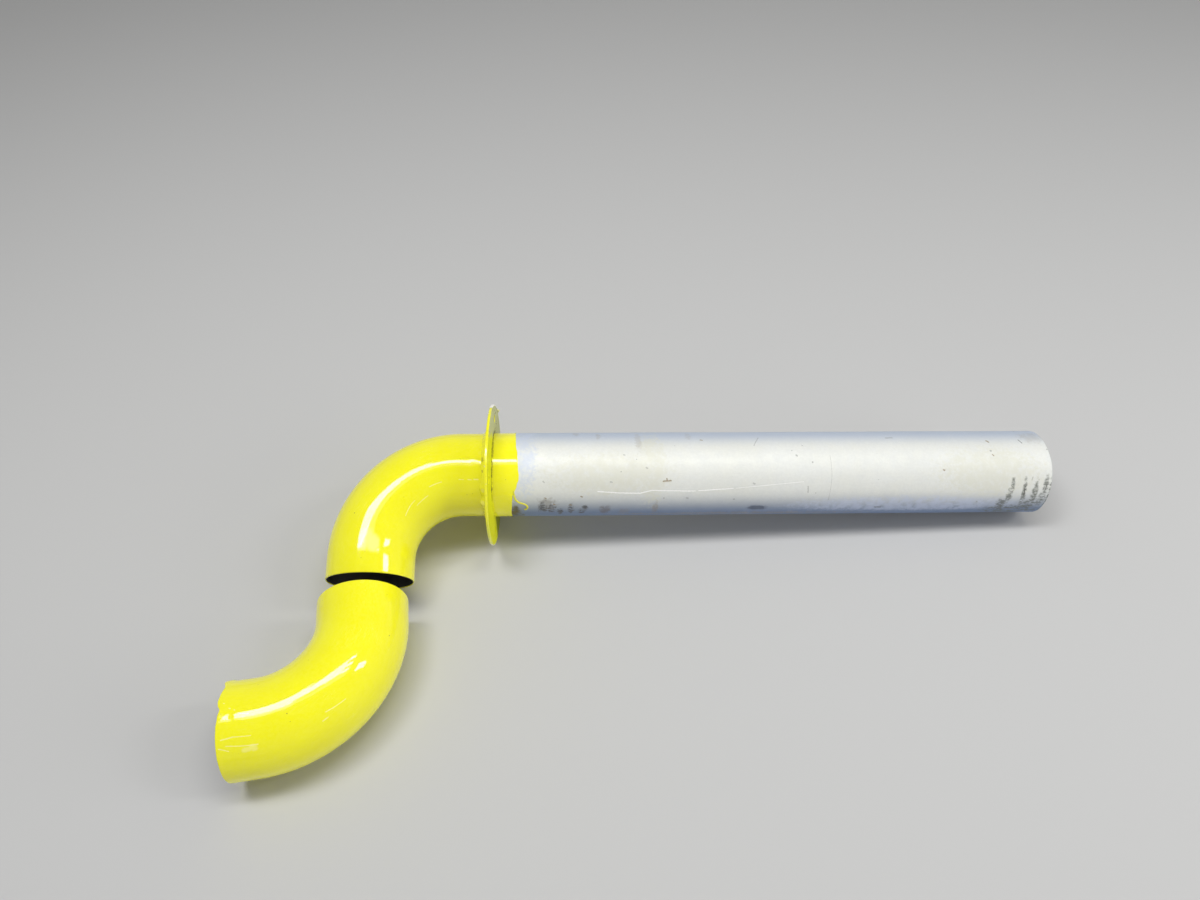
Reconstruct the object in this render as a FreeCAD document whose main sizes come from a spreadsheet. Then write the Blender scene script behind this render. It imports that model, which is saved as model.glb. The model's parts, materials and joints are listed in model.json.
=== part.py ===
import FreeCAD, Part
import math
import os

import Sketcher

# A two-piece vent of thin aluminium tube, laid out on a bench with +Z up. A long straight tube
# passes through a round mounting flange and is welded to a short-radius elbow. A second elbow of
# the same size lies in line with the first one's open mouth. The tube rests on its open end and
# on the flange, and rolls over until the first elbow's mouth touches the bench as well.

# Driving dimensions, in millimetres and degrees
SIZES = (
    ("tube_outer_diameter", 50.8, "outside of every tube, straight or bent"),
    ("tube_wall", 0.9, "wall of the straight tube"),
    ("elbow_wall", 0.9, "wall of both elbows"),
    ("tube_reach", 335.4, "middle of the flange to the tube's open end"),
    ("tube_stand_out", 4.0, "how far the tube stands out of the flange towards the elbow"),
    ("flange_width", 17.6, "tube's outside to the flange's rim"),
    ("flange_thickness", 1.8, "thickness of the flange's sheet"),
    ("flange_hole_clearance", 0.1, "gap all round between the tube and the flange's hole"),
    ("flange_rim_round", 0.5, "rounding of the flange's rim"),
    ("screw_hole_diameter", 4.9, "holes in the flange"),
    ("screw_hole_margin", 8.8, "flange's rim to the middle of a hole"),
    ("screw_hole_count", 4, "holes round the flange"),
    ("screw_hole_turn", 45.0, "first hole, turned up from the side of the elbow's mouth"),
    ("weld_reach", 5.2, "weld's length along the tube"),
    ("weld_rise", 2.4, "weld's height up the flange"),
    ("weld_face_radius", 5.0, "crown of the weld's face"),
    ("bend_radius", 52.0, "middle line of both bends"),
    ("bend_angle", 90.0, "turn of both bends"),
    ("elbow_straight", 13.3, "straight stretch at each end of an elbow"),
    ("mouth_gap", 7.3, "distance between the two facing mouths at their top"),
    ("mouth_shift", 1.3, "sideways step from one facing mouth to the other"),
    ("lower_elbow_turn", 6.9, "lower elbow, turned about the vertical"),
)

X_AXIS = FreeCAD.Vector(1, 0, 0)
Y_AXIS = FreeCAD.Vector(0, 1, 0)
Z_AXIS = FreeCAD.Vector(0, 0, 1)

# Points of a sketched edge, and the sketch's own origin and horizontal axis
START, END, CENTRE = 1, 2, 3
ROOT = -1


def make_sheet(document):
    """Write the driving dimensions into a sheet, one row each."""
    sheet = document.addObject("Spreadsheet::Sheet", "Sizes")
    for row, (alias, value, meaning) in enumerate(SIZES, start=1):
        sheet.set(f"A{row}", meaning)
        sheet.set(f"B{row}", str(value))
        sheet.setAlias(f"B{row}", alias)
    document.recompute()
    return sheet


def make_body(document, label):
    """Start a piece that is named after its label."""
    body = document.addObject("PartDesign::Body", label)
    body.Label = label
    return body


def origin_feature(body, role):
    """Find a plane or an axis of the piece's own origin."""
    return next(item for item in body.Origin.OriginFeatures if item.Role == role)


def make_sketch(body, name, plane):
    """Start a sketch on one of the piece's origin planes."""
    sketch = body.newObject("Sketcher::SketchObject", name)
    sketch.AttachmentSupport = [(origin_feature(body, plane), "")]
    sketch.MapMode = "FlatFace"
    return sketch


def drive(sketch, name, constraint, expression):
    """Add a named size to a sketch and bind it to the sheet."""
    index = sketch.addConstraint(constraint)
    sketch.renameConstraint(index, name)
    sketch.setExpression(f"Constraints.{name}", expression)


def draw_ring(sketch, outer, inner):
    """Draw two circles about the sketch's origin, sized by two expressions for their diameters."""
    for name, radius, expression in (("outer", 2.0, outer), ("inner", 1.0, inner)):
        circle = sketch.addGeometry(Part.Circle(FreeCAD.Vector(), Z_AXIS, radius))
        sketch.addConstraint(Sketcher.Constraint("Coincident", circle, CENTRE, ROOT, START))
        drive(sketch, name, Sketcher.Constraint("Diameter", circle, 2 * radius), expression)


def make_straight_tube(document):
    """Round tube along X. The flange's middle is at x = 0, and the open end at +X."""
    body = make_body(document, "straight_tube")
    ring = make_sketch(body, "tube_section", "YZ_Plane")
    draw_ring(ring, "Sizes.tube_outer_diameter", "Sizes.tube_outer_diameter - 2 * Sizes.tube_wall")
    behind = "Sizes.flange_thickness / 2 + Sizes.tube_stand_out"
    ring.setExpression("AttachmentOffset.Base.z", f"-({behind})")
    tube = body.newObject("PartDesign::Pad", "tube_length")
    tube.Profile = ring
    tube.setExpression("Length", f"Sizes.tube_reach + {behind}")
    return body


def make_flange(document, sizes):
    """Round sheet flange about X with a ring of screw holes and a rounded rim."""
    body = make_body(document, "mounting_flange")
    ring = make_sketch(body, "flange_outline", "YZ_Plane")
    draw_ring(
        ring,
        "Sizes.tube_outer_diameter + 2 * Sizes.flange_width",
        "Sizes.tube_outer_diameter + 2 * Sizes.flange_hole_clearance",
    )
    disc = body.newObject("PartDesign::Pad", "flange_sheet")
    disc.Profile = ring
    disc.Midplane = True
    disc.setExpression("Length", "Sizes.flange_thickness")
    document.recompute()

    rim_radius = sizes.tube_outer_diameter / 2 + sizes.flange_width
    rims = [
        f"Edge{number}"
        for number, edge in enumerate(disc.Shape.Edges, start=1)
        if isinstance(edge.Curve, Part.Circle) and math.isclose(edge.Curve.Radius, rim_radius, abs_tol=1e-6)
    ]
    rounded = body.newObject("PartDesign::Fillet", "flange_rim")
    rounded.Base = (disc, rims)
    rounded.setExpression("Radius", "Sizes.flange_rim_round")

    marks = make_sketch(body, "screw_hole_place", "YZ_Plane")
    spoke = marks.addGeometry(Part.LineSegment(FreeCAD.Vector(), FreeCAD.Vector(-10, 10, 0)), True)
    marks.addConstraint(Sketcher.Constraint("Coincident", spoke, START, ROOT, START))
    drive(
        marks,
        "circle_radius",
        Sketcher.Constraint("Distance", spoke, 14.0),
        "Sizes.tube_outer_diameter / 2 + Sizes.flange_width - Sizes.screw_hole_margin",
    )
    drive(
        marks,
        "first_turn",
        Sketcher.Constraint("Angle", ROOT, START, spoke, START, math.radians(135)),
        "180 deg - Sizes.screw_hole_turn * 1 deg",
    )
    hole = marks.addGeometry(Part.Circle(FreeCAD.Vector(-10, 10, 0), Z_AXIS, 2.0))
    marks.addConstraint(Sketcher.Constraint("Coincident", hole, CENTRE, spoke, END))
    drive(marks, "hole", Sketcher.Constraint("Diameter", hole, 4.0), "Sizes.screw_hole_diameter")
    drilled = body.newObject("PartDesign::Pocket", "screw_hole")
    drilled.Profile = marks
    drilled.Type = "ThroughAll"
    drilled.Midplane = True
    document.recompute()

    circle = body.newObject("PartDesign::PolarPattern", "screw_holes")
    circle.Originals = [drilled]
    circle.Axis = (origin_feature(body, "X_Axis"), [""])
    circle.Angle = 360
    circle.setExpression("Occurrences", "Sizes.screw_hole_count")
    body.Tip = circle
    return body


def make_flange_weld(document, sizes):
    """Weld bead about X. It fills the corner of the flange and covers the tube's butt joint."""
    body = make_body(document, "flange_weld")
    section = make_sketch(body, "weld_section", "XY_Plane")
    radius = sizes.tube_outer_diameter / 2
    corner = FreeCAD.Vector(-sizes.flange_thickness / 2, radius, 0)
    toe = corner - FreeCAD.Vector(sizes.weld_reach, 0, 0)
    top = corner + FreeCAD.Vector(0, sizes.weld_rise, 0)
    along = section.addGeometry(Part.LineSegment(toe, corner))
    upward = section.addGeometry(Part.LineSegment(corner, top))
    face = section.addGeometry(arc_between(top, toe, sizes.weld_face_radius))
    for first, second in ((along, upward), (upward, face), (face, along)):
        section.addConstraint(Sketcher.Constraint("Coincident", first, END, second, START))
    section.addConstraint(Sketcher.Constraint("Horizontal", along))
    section.addConstraint(Sketcher.Constraint("Vertical", upward))
    drive(
        section,
        "flange_face",
        Sketcher.Constraint("DistanceX", upward, START, ROOT, START, -corner.x),
        "Sizes.flange_thickness / 2",
    )
    drive(
        section,
        "tube_face",
        Sketcher.Constraint("DistanceY", ROOT, START, upward, START, radius),
        "Sizes.tube_outer_diameter / 2",
    )
    drive(
        section,
        "reach",
        Sketcher.Constraint("DistanceX", along, START, along, END, sizes.weld_reach),
        "Sizes.weld_reach",
    )
    drive(
        section,
        "rise",
        Sketcher.Constraint("DistanceY", upward, START, upward, END, sizes.weld_rise),
        "Sizes.weld_rise",
    )
    drive(
        section,
        "crown",
        Sketcher.Constraint("Radius", face, sizes.weld_face_radius),
        "Sizes.weld_face_radius",
    )
    bead = body.newObject("PartDesign::Revolution", "weld_bead")
    bead.Profile = section
    bead.ReferenceAxis = (section, ["H_Axis"])
    bead.Angle = 360
    return body


def arc_between(first, last, radius):
    """Counter-clockwise arc of a given radius from one point to another."""
    chord = last - first
    middle = (first + last) * 0.5
    inward = Z_AXIS.cross(chord).normalize()
    centre = middle + inward * math.sqrt(radius**2 - (chord.Length / 2) ** 2)
    angles = [math.atan2(point.y - centre.y, point.x - centre.x) for point in (first, last)]
    return Part.ArcOfCircle(Part.Circle(centre, Z_AXIS, radius), *angles)


def make_elbow(document, label, sizes):
    """Bent tube in the XY plane. One mouth is at the origin and faces +X, the other faces -Y."""
    body = make_body(document, label)
    path = make_sketch(body, f"{label}_path", "XY_Plane")
    turn = math.radians(sizes.bend_angle)
    centre = FreeCAD.Vector(-sizes.elbow_straight, -sizes.bend_radius, 0)
    bend_start = FreeCAD.Vector(-sizes.elbow_straight, 0, 0)
    bend_end = centre + FreeCAD.Vector(-math.sin(turn), math.cos(turn), 0) * sizes.bend_radius
    heading = FreeCAD.Vector(-math.cos(turn), -math.sin(turn), 0)
    first = path.addGeometry(Part.LineSegment(FreeCAD.Vector(), bend_start))
    circle = Part.Circle(centre, Z_AXIS, sizes.bend_radius)
    bend = path.addGeometry(Part.ArcOfCircle(circle, math.pi / 2, math.pi / 2 + turn))
    last = path.addGeometry(Part.LineSegment(bend_end, bend_end + heading * sizes.elbow_straight))
    path.addConstraint(Sketcher.Constraint("Coincident", first, START, ROOT, START))
    path.addConstraint(Sketcher.Constraint("Horizontal", first))
    path.addConstraint(Sketcher.Constraint("Tangent", first, END, bend, START))
    path.addConstraint(Sketcher.Constraint("Tangent", bend, END, last, START))
    for name, edge in (("first_straight", first), ("last_straight", last)):
        length = Sketcher.Constraint("Distance", edge, sizes.elbow_straight)
        drive(path, name, length, "Sizes.elbow_straight")
    drive(path, "bend", Sketcher.Constraint("Radius", bend, sizes.bend_radius), "Sizes.bend_radius")
    drive(path, "turn", Sketcher.Constraint("Angle", bend, turn), "Sizes.bend_angle * 1 deg")

    section = make_sketch(body, f"{label}_section", "YZ_Plane")
    draw_ring(section, "Sizes.tube_outer_diameter", "Sizes.tube_outer_diameter - 2 * Sizes.elbow_wall")
    pipe = body.newObject("PartDesign::AdditivePipe", f"{label}_pipe")
    pipe.Profile = section
    pipe.Spine = (path, ["Edge1", "Edge2", "Edge3"])
    return body


class Layout:
    """Where each piece lies on the bench, worked out from the sizes alone.

    The tube's own frame has its origin at the flange's middle and X along the tube. The flange
    is larger than the tube, so the tube slopes down to its open end. The elbow's mouth hangs on
    that slope and rolls the tube about its axis until the mouth's lowest point is on the bench.
    """

    def __init__(self, sizes):
        self.sizes = sizes
        self.radius = sizes.tube_outer_diameter / 2
        self.joint = sizes.flange_thickness / 2 + sizes.tube_stand_out
        self.turn = math.radians(sizes.bend_angle)

    def slope(self):
        """Angle that lays both the tube's open end and the flange's rounded rim on the bench."""
        rim_round = self.sizes.flange_rim_round
        step = self.sizes.flange_width - rim_round
        run = self.sizes.tube_reach - self.sizes.flange_thickness / 2 + rim_round
        return math.acos(-rim_round / math.hypot(step, run)) - math.atan2(run, step)

    def tube_frame(self):
        """Place of the tube, the flange and the weld."""
        slope = self.slope()
        height = self.sizes.tube_reach * math.sin(slope) + self.radius * math.cos(slope)
        rotation = FreeCAD.Rotation(Y_AXIS, math.degrees(slope))
        return FreeCAD.Placement(FreeCAD.Vector(0, 0, height), rotation)

    def upper_elbow(self, roll):
        """Place of the upper elbow when the tube is rolled by an angle in degrees."""
        joint = FreeCAD.Placement(FreeCAD.Vector(-self.joint, 0, 0), FreeCAD.Rotation(X_AXIS, roll))
        return self.tube_frame().multiply(joint)

    def mouth(self, roll):
        """Centre and outward direction of the upper elbow's open mouth."""
        bend, straight = self.sizes.bend_radius, self.sizes.elbow_straight
        heading = FreeCAD.Vector(-math.cos(self.turn), -math.sin(self.turn), 0)
        centre = FreeCAD.Vector(-straight, -bend, 0)
        centre += FreeCAD.Vector(-math.sin(self.turn), math.cos(self.turn), 0) * bend
        centre += heading * straight
        place = self.upper_elbow(roll)
        return place.multVec(centre), place.Rotation.multVec(heading)

    def mouth_clearance(self, roll):
        """Height of the mouth's lowest point above the bench."""
        centre, heading = self.mouth(roll)
        return centre.z - self.radius * math.sqrt(1 - heading.z**2)

    def resting_roll(self):
        """Roll in degrees that brings the mouth down onto the bench, found by halving."""
        low, high = 0.0, 60.0
        while high - low > 1e-9:
            middle = (low + high) / 2
            if self.mouth_clearance(middle) > 0:
                low = middle
            else:
                high = middle
        return low

    def lower_elbow(self, roll):
        """Place of the lower elbow, flat on the bench with its near mouth facing the upper one."""
        centre, heading = self.mouth(roll)
        lean = self.radius * abs(heading.z)
        mouth = FreeCAD.Vector(
            centre.x - self.sizes.mouth_shift,
            centre.y - lean - self.sizes.mouth_gap,
            self.radius,
        )
        flip = FreeCAD.Rotation(X_AXIS, 180)
        swivel = FreeCAD.Rotation(Z_AXIS, 90 + self.sizes.lower_elbow_turn)
        return FreeCAD.Placement(mouth, swivel.multiply(flip))


def centre_on_origin(bodies):
    """Move the whole group sideways, so that its box stands centred over the origin."""
    box = Part.makeCompound([body.Shape for body in bodies]).optimalBoundingBox(False, False)
    shift = FreeCAD.Vector(-box.Center.x, -box.Center.y, 0)
    for body in bodies:
        body.Placement.move(shift)


def check_document(document, bodies):
    """Stop if any feature failed or any piece is not one sound solid."""
    for item in document.Objects:
        if "Invalid" in item.State or "Error" in item.State:
            raise RuntimeError(f"{item.Name} failed: {item.State}")
    for body in bodies:
        shape = body.Shape
        if shape.isNull() or not shape.isValid() or len(shape.Solids) != 1:
            raise RuntimeError(f"{body.Label} is not one sound solid")


def main():
    """Build every piece, lay the pieces out and write one STEP file for each."""
    document = FreeCAD.newDocument("vent_elbow")
    sizes = make_sheet(document)
    tube = make_straight_tube(document)
    flange = make_flange(document, sizes)
    weld = make_flange_weld(document, sizes)
    upper = make_elbow(document, "upper_elbow", sizes)
    lower = make_elbow(document, "lower_elbow", sizes)
    bodies = [tube, flange, weld, upper, lower]

    layout = Layout(sizes)
    roll = layout.resting_roll()
    for body in (tube, flange, weld):
        body.Placement = layout.tube_frame()
    upper.Placement = layout.upper_elbow(roll)
    lower.Placement = layout.lower_elbow(roll)
    document.recompute()
    centre_on_origin(bodies)
    document.recompute()
    check_document(document, bodies)

    os.makedirs("parts", exist_ok=True)
    for body in bodies:
        body.Shape.exportStep(f"parts/{body.Label}.step")
        box = body.Shape.optimalBoundingBox(False, False)
        print(f"{body.Label}: {body.Shape.Volume:.1f} mm3, z {box.ZMin:.3f} to {box.ZMax:.3f}")
    print(f"slope {math.degrees(layout.slope()):.3f}, roll {roll:.3f}")


main()
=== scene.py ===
"""Looks of a two-piece aircraft vent: a bare aluminium tube with a flange and two yellow bends.

All lengths are in metres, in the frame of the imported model. Each sub-assembly is a class that
takes its place from the frame, builds its own meshes and dresses them with procedural finishes.
"""

import json
import logging
import math
from dataclasses import dataclass, field
from enum import Enum
from typing import Callable, Sequence

import bmesh
import bpy
import numpy as np
from mathutils import Matrix, Vector, noise


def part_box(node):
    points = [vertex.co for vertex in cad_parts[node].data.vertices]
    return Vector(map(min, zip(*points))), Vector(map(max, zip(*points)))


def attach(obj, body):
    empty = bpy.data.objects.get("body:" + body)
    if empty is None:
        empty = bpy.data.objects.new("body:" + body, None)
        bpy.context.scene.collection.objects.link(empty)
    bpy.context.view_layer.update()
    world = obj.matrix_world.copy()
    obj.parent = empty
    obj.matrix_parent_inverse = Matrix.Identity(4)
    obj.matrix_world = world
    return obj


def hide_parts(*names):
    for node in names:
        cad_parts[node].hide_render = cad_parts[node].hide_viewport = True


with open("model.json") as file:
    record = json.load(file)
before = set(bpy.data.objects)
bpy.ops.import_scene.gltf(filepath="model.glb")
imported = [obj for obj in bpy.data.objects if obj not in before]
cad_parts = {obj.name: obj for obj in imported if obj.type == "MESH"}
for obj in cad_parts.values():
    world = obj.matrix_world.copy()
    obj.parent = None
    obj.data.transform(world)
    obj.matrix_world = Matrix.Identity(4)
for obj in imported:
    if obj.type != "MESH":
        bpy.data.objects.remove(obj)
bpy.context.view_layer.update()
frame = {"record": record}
LOG = logging.getLogger("vent")
BODY = "root"
MM = 0.001

Colour = tuple[float, float, float]
Point = tuple[float, float, float]
Socket = bpy.types.NodeSocket
Unevenness = Callable[[np.ndarray, np.ndarray], np.ndarray]


class Slot(Enum):
    """Material slots of the record."""

    ALUMINIUM = "bare_aluminium"
    PAINT = "yellow_paint"


class Bend(Enum):
    """Which side of a bend's own plane looks up as it lies on the bench."""

    FACE_UP = 1
    FACE_DOWN = -1


class Texture(Enum):
    """How evenly a stain covers its patches."""

    CLOUDY = "cloudy"
    GRAINY = "grainy"
    SMOOTH = "smooth"


@dataclass(frozen=True)
class Axes:
    """A place with three directions of its own."""

    origin: Vector
    x: Vector
    y: Vector
    z: Vector

    def place(self, points: np.ndarray) -> np.ndarray:
        """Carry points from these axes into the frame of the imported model.

        Args:
            points: Array of shape (..., 3) in these axes.

        Returns:
            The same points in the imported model's frame.
        """
        return points @ np.array([self.x, self.y, self.z]) + np.array(self.origin)

    def rolled(self, angle: float, shift: float) -> "Axes":
        """Axes moved along X and turned about X.

        Args:
            angle: Turn about X in radians.
            shift: Distance along X.

        Returns:
            The new axes.
        """
        turn = Matrix.Rotation(angle, 3, self.x)
        return Axes(self.origin + self.x * shift, self.x, turn @ self.y, turn @ self.z)


def mount(name: str) -> dict:
    """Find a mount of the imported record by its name."""
    return next(item for item in frame["record"]["mounts"] if item["name"] == name)


def smooth_step(low: float, high: float, value: np.ndarray | float) -> np.ndarray | float:
    """Smooth rise from 0 at low to 1 at high."""
    part = np.clip((value - low) / (high - low), 0.0, 1.0)
    return part * part * (3.0 - 2.0 * part)


def bump_at(value: np.ndarray | float, centre: float, width: float) -> np.ndarray | float:
    """Bell of height 1 about a centre, with its width as one deviation."""
    return np.exp(-(((value - centre) / width) ** 2))


def around_table(degrees: np.ndarray, table: Sequence[tuple[float, float]]) -> np.ndarray:
    """Smooth curve through values that are known at some angles around a pipe.

    Args:
        degrees: Angles to work out, from -180 to 180.
        table: Rising angles in degrees, each with its value.

    Returns:
        The value at each angle, level at every known angle.
    """
    knots = np.array([row[0] for row in table] + [table[0][0] + 360.0])
    values = np.array([row[1] for row in table] + [table[0][1]])
    turned = np.mod(degrees - knots[0], 360.0) + knots[0]
    index = np.clip(np.searchsorted(knots, turned, side="right") - 1, 0, len(table) - 1)
    part = (turned - knots[index]) / (knots[index + 1] - knots[index])
    return values[index] + (values[index + 1] - values[index]) * part * part * (3.0 - 2.0 * part)


def wave_noise(points: np.ndarray, scale: float, offset: float = 0.0) -> np.ndarray:
    """Smooth noise at many points.

    Args:
        points: Array of shape (n, 3), in metres.
        scale: Size of the noise's features, in metres.
        offset: Moves the pattern, so that two pieces differ.

    Returns:
        One value from about -1 to 1 for each point.
    """
    shift = Vector((offset, offset, offset))
    return np.array([noise.noise(Vector(point) / scale + shift) for point in points])


# Shader building


class Graph:
    """Short way of writing a node tree, for a material or for a node group."""

    def __init__(self, tree: bpy.types.NodeTree) -> None:
        """Keep the tree that the nodes go into."""
        self.tree = tree

    def node(self, kind: str, **settings: object) -> bpy.types.Node:
        """Add a node and set its properties.

        Args:
            kind: Blender's name of the node type.
            **settings: Properties of the node.

        Returns:
            The new node.
        """
        item = self.tree.nodes.new(kind)
        for name, value in settings.items():
            setattr(item, name, value)
        return item

    def feed(self, socket: Socket, value: object) -> None:
        """Link a socket to another node's output, or set its value.

        Args:
            socket: The input.
            value: Another node's output or a plain value.
        """
        if isinstance(value, Socket):
            self.tree.links.new(value, socket)
        elif value is not None:
            socket.default_value = value

    def math(self, operation: str, first: object, second: object = None) -> Socket:
        """Add a Math node and return its value.

        Args:
            operation: Blender's name of the operation.
            first: First value.
            second: Second value.

        Returns:
            The result.
        """
        item = self.node("ShaderNodeMath", operation=operation)
        self.feed(item.inputs[0], first)
        self.feed(item.inputs[1], second)
        return item.outputs[0]

    def times(self, first: object, second: object) -> Socket:
        """Product of two values."""
        return self.math("MULTIPLY", first, second)

    def plus(self, first: object, second: object) -> Socket:
        """Sum of two values."""
        return self.math("ADD", first, second)

    def minus(self, first: object, second: object) -> Socket:
        """Difference of two values."""
        return self.math("SUBTRACT", first, second)

    def raised(self, value: object, mask: object, share: object) -> Socket:
        """Value with a share of a mask added to it."""
        return self.plus(value, self.times(mask, share))

    def vector(self, operation: str, first: object, second: object = None) -> Socket:
        """Add a Vector Math node and return its vector, or its value where that is what it works out.

        Args:
            operation: Blender's name of the operation.
            first: First value.
            second: Second value.

        Returns:
            The result.
        """
        item = self.node("ShaderNodeVectorMath", operation=operation)
        self.feed(item.inputs[0], first)
        self.feed(item.inputs["Scale" if operation == "SCALE" else 1], second)
        return item.outputs["Value" if operation in ("DOT_PRODUCT", "LENGTH") else "Vector"]

    def dot(self, first: object, second: object) -> Socket:
        """Dot product of two vectors."""
        return self.vector("DOT_PRODUCT", first, second)

    def split(self, vector: object) -> tuple[Socket, ...]:
        """X, Y and Z of a vector.

        Args:
            vector: The vector.

        Returns:
            The three numbers.
        """
        item = self.node("ShaderNodeSeparateXYZ")
        self.feed(item.inputs[0], vector)
        return tuple(item.outputs)

    def ramp(
        self, value: object, low: float, high: float, start: float = 0.0, end: float = 1.0
    ) -> Socket:
        """Smoothly map a value from one range to another.

        Args:
            value: The value to map.
            low: Where the rise starts.
            high: Where the rise ends.
            start: Result at low.
            end: Result at high.

        Returns:
            The mapped value.
        """
        item = self.node("ShaderNodeMapRange", interpolation_type="SMOOTHSTEP")
        self.feed(item.inputs["Value"], value)
        for name, number in (("From Min", low), ("From Max", high), ("To Min", start), ("To Max", end)):
            item.inputs[name].default_value = number
        return item.outputs["Result"]

    def noise(self, place: object, scale: object, detail: float = 2.0, rough: float = 0.5) -> Socket:
        """Add a Noise Texture and return its factor.

        Args:
            place: Where the noise is read.
            scale: How fine it is.
            detail: Number of finer layers.
            rough: Strength of the finer layers.

        Returns:
            The factor.
        """
        item = self.node("ShaderNodeTexNoise")
        for name, value in (("Vector", place), ("Scale", scale), ("Detail", detail), ("Roughness", rough)):
            self.feed(item.inputs[name], value)
        return item.outputs["Fac"]

    def blend(self, mask: object, first: object, second: object) -> Socket:
        """Mix two colours by a mask.

        Args:
            mask: Share of the second colour.
            first: First colour.
            second: Second colour.

        Returns:
            The mixed colour.
        """
        item = self.node("ShaderNodeMix", data_type="RGBA")
        self.feed(item.inputs["Factor"], mask)
        for socket, value in ((item.inputs[6], first), (item.inputs[7], second)):
            self.feed(socket, (*value, 1.0) if isinstance(value, tuple) else value)
        return item.outputs[2]

    def tint(self, mask: object, share: object, colour: object, tone: object) -> Socket:
        """Mix a share of a tone into a colour where a mask is."""
        return self.blend(self.times(mask, share), colour, tone)

    def strongest(self, masks: Sequence[Socket]) -> Socket:
        """Join masks by taking the strongest at each point.

        Args:
            masks: The masks.

        Returns:
            The joined mask.
        """
        result = masks[0]
        for mask in masks[1:]:
            result = self.math("MAXIMUM", result, mask)
        return result

    def attribute(self, name: str) -> Socket:
        """Read a vector that the mesh carries at each point."""
        return self.node("ShaderNodeAttribute", attribute_name=name).outputs["Vector"]

    def call(self, group: bpy.types.NodeTree, **values: object) -> Socket:
        """Place a node group and return its one output.

        Args:
            group: The node group.
            **values: Its inputs, with underscores for spaces.

        Returns:
            The output.
        """
        item = self.node("ShaderNodeGroup", node_tree=group)
        for name, value in values.items():
            self.feed(item.inputs[name.replace("_", " ")], value)
        return item.outputs[0]


class Group(Graph):
    """Node group being built, with named inputs and one value that it puts out."""

    def __init__(
        self, name: str, vectors: Sequence[str], values: Sequence[str], output: str = "Mask"
    ) -> None:
        """Start a group.

        Args:
            name: The group's name.
            vectors: Names of the inputs that are vectors.
            values: Names of the inputs that are numbers.
            output: Name of the one output.
        """
        super().__init__(bpy.data.node_groups.new(name, "ShaderNodeTree"))
        add = self.tree.interface.new_socket
        for labels, kind in ((vectors, "NodeSocketVector"), (values, "NodeSocketFloat")):
            for label in labels:
                add(label, in_out="INPUT", socket_type=kind)
        add(output, in_out="OUTPUT", socket_type="NodeSocketFloat")
        self.given = dict(self.node("NodeGroupInput").outputs.items())
        self.place = self.given["Place"]
        self.result = self.node("NodeGroupOutput").inputs[output]

    def finish(self, value: Socket) -> bpy.types.NodeTree:
        """Put out a value and return the group's tree."""
        self.feed(self.result, value)
        return self.tree


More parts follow.
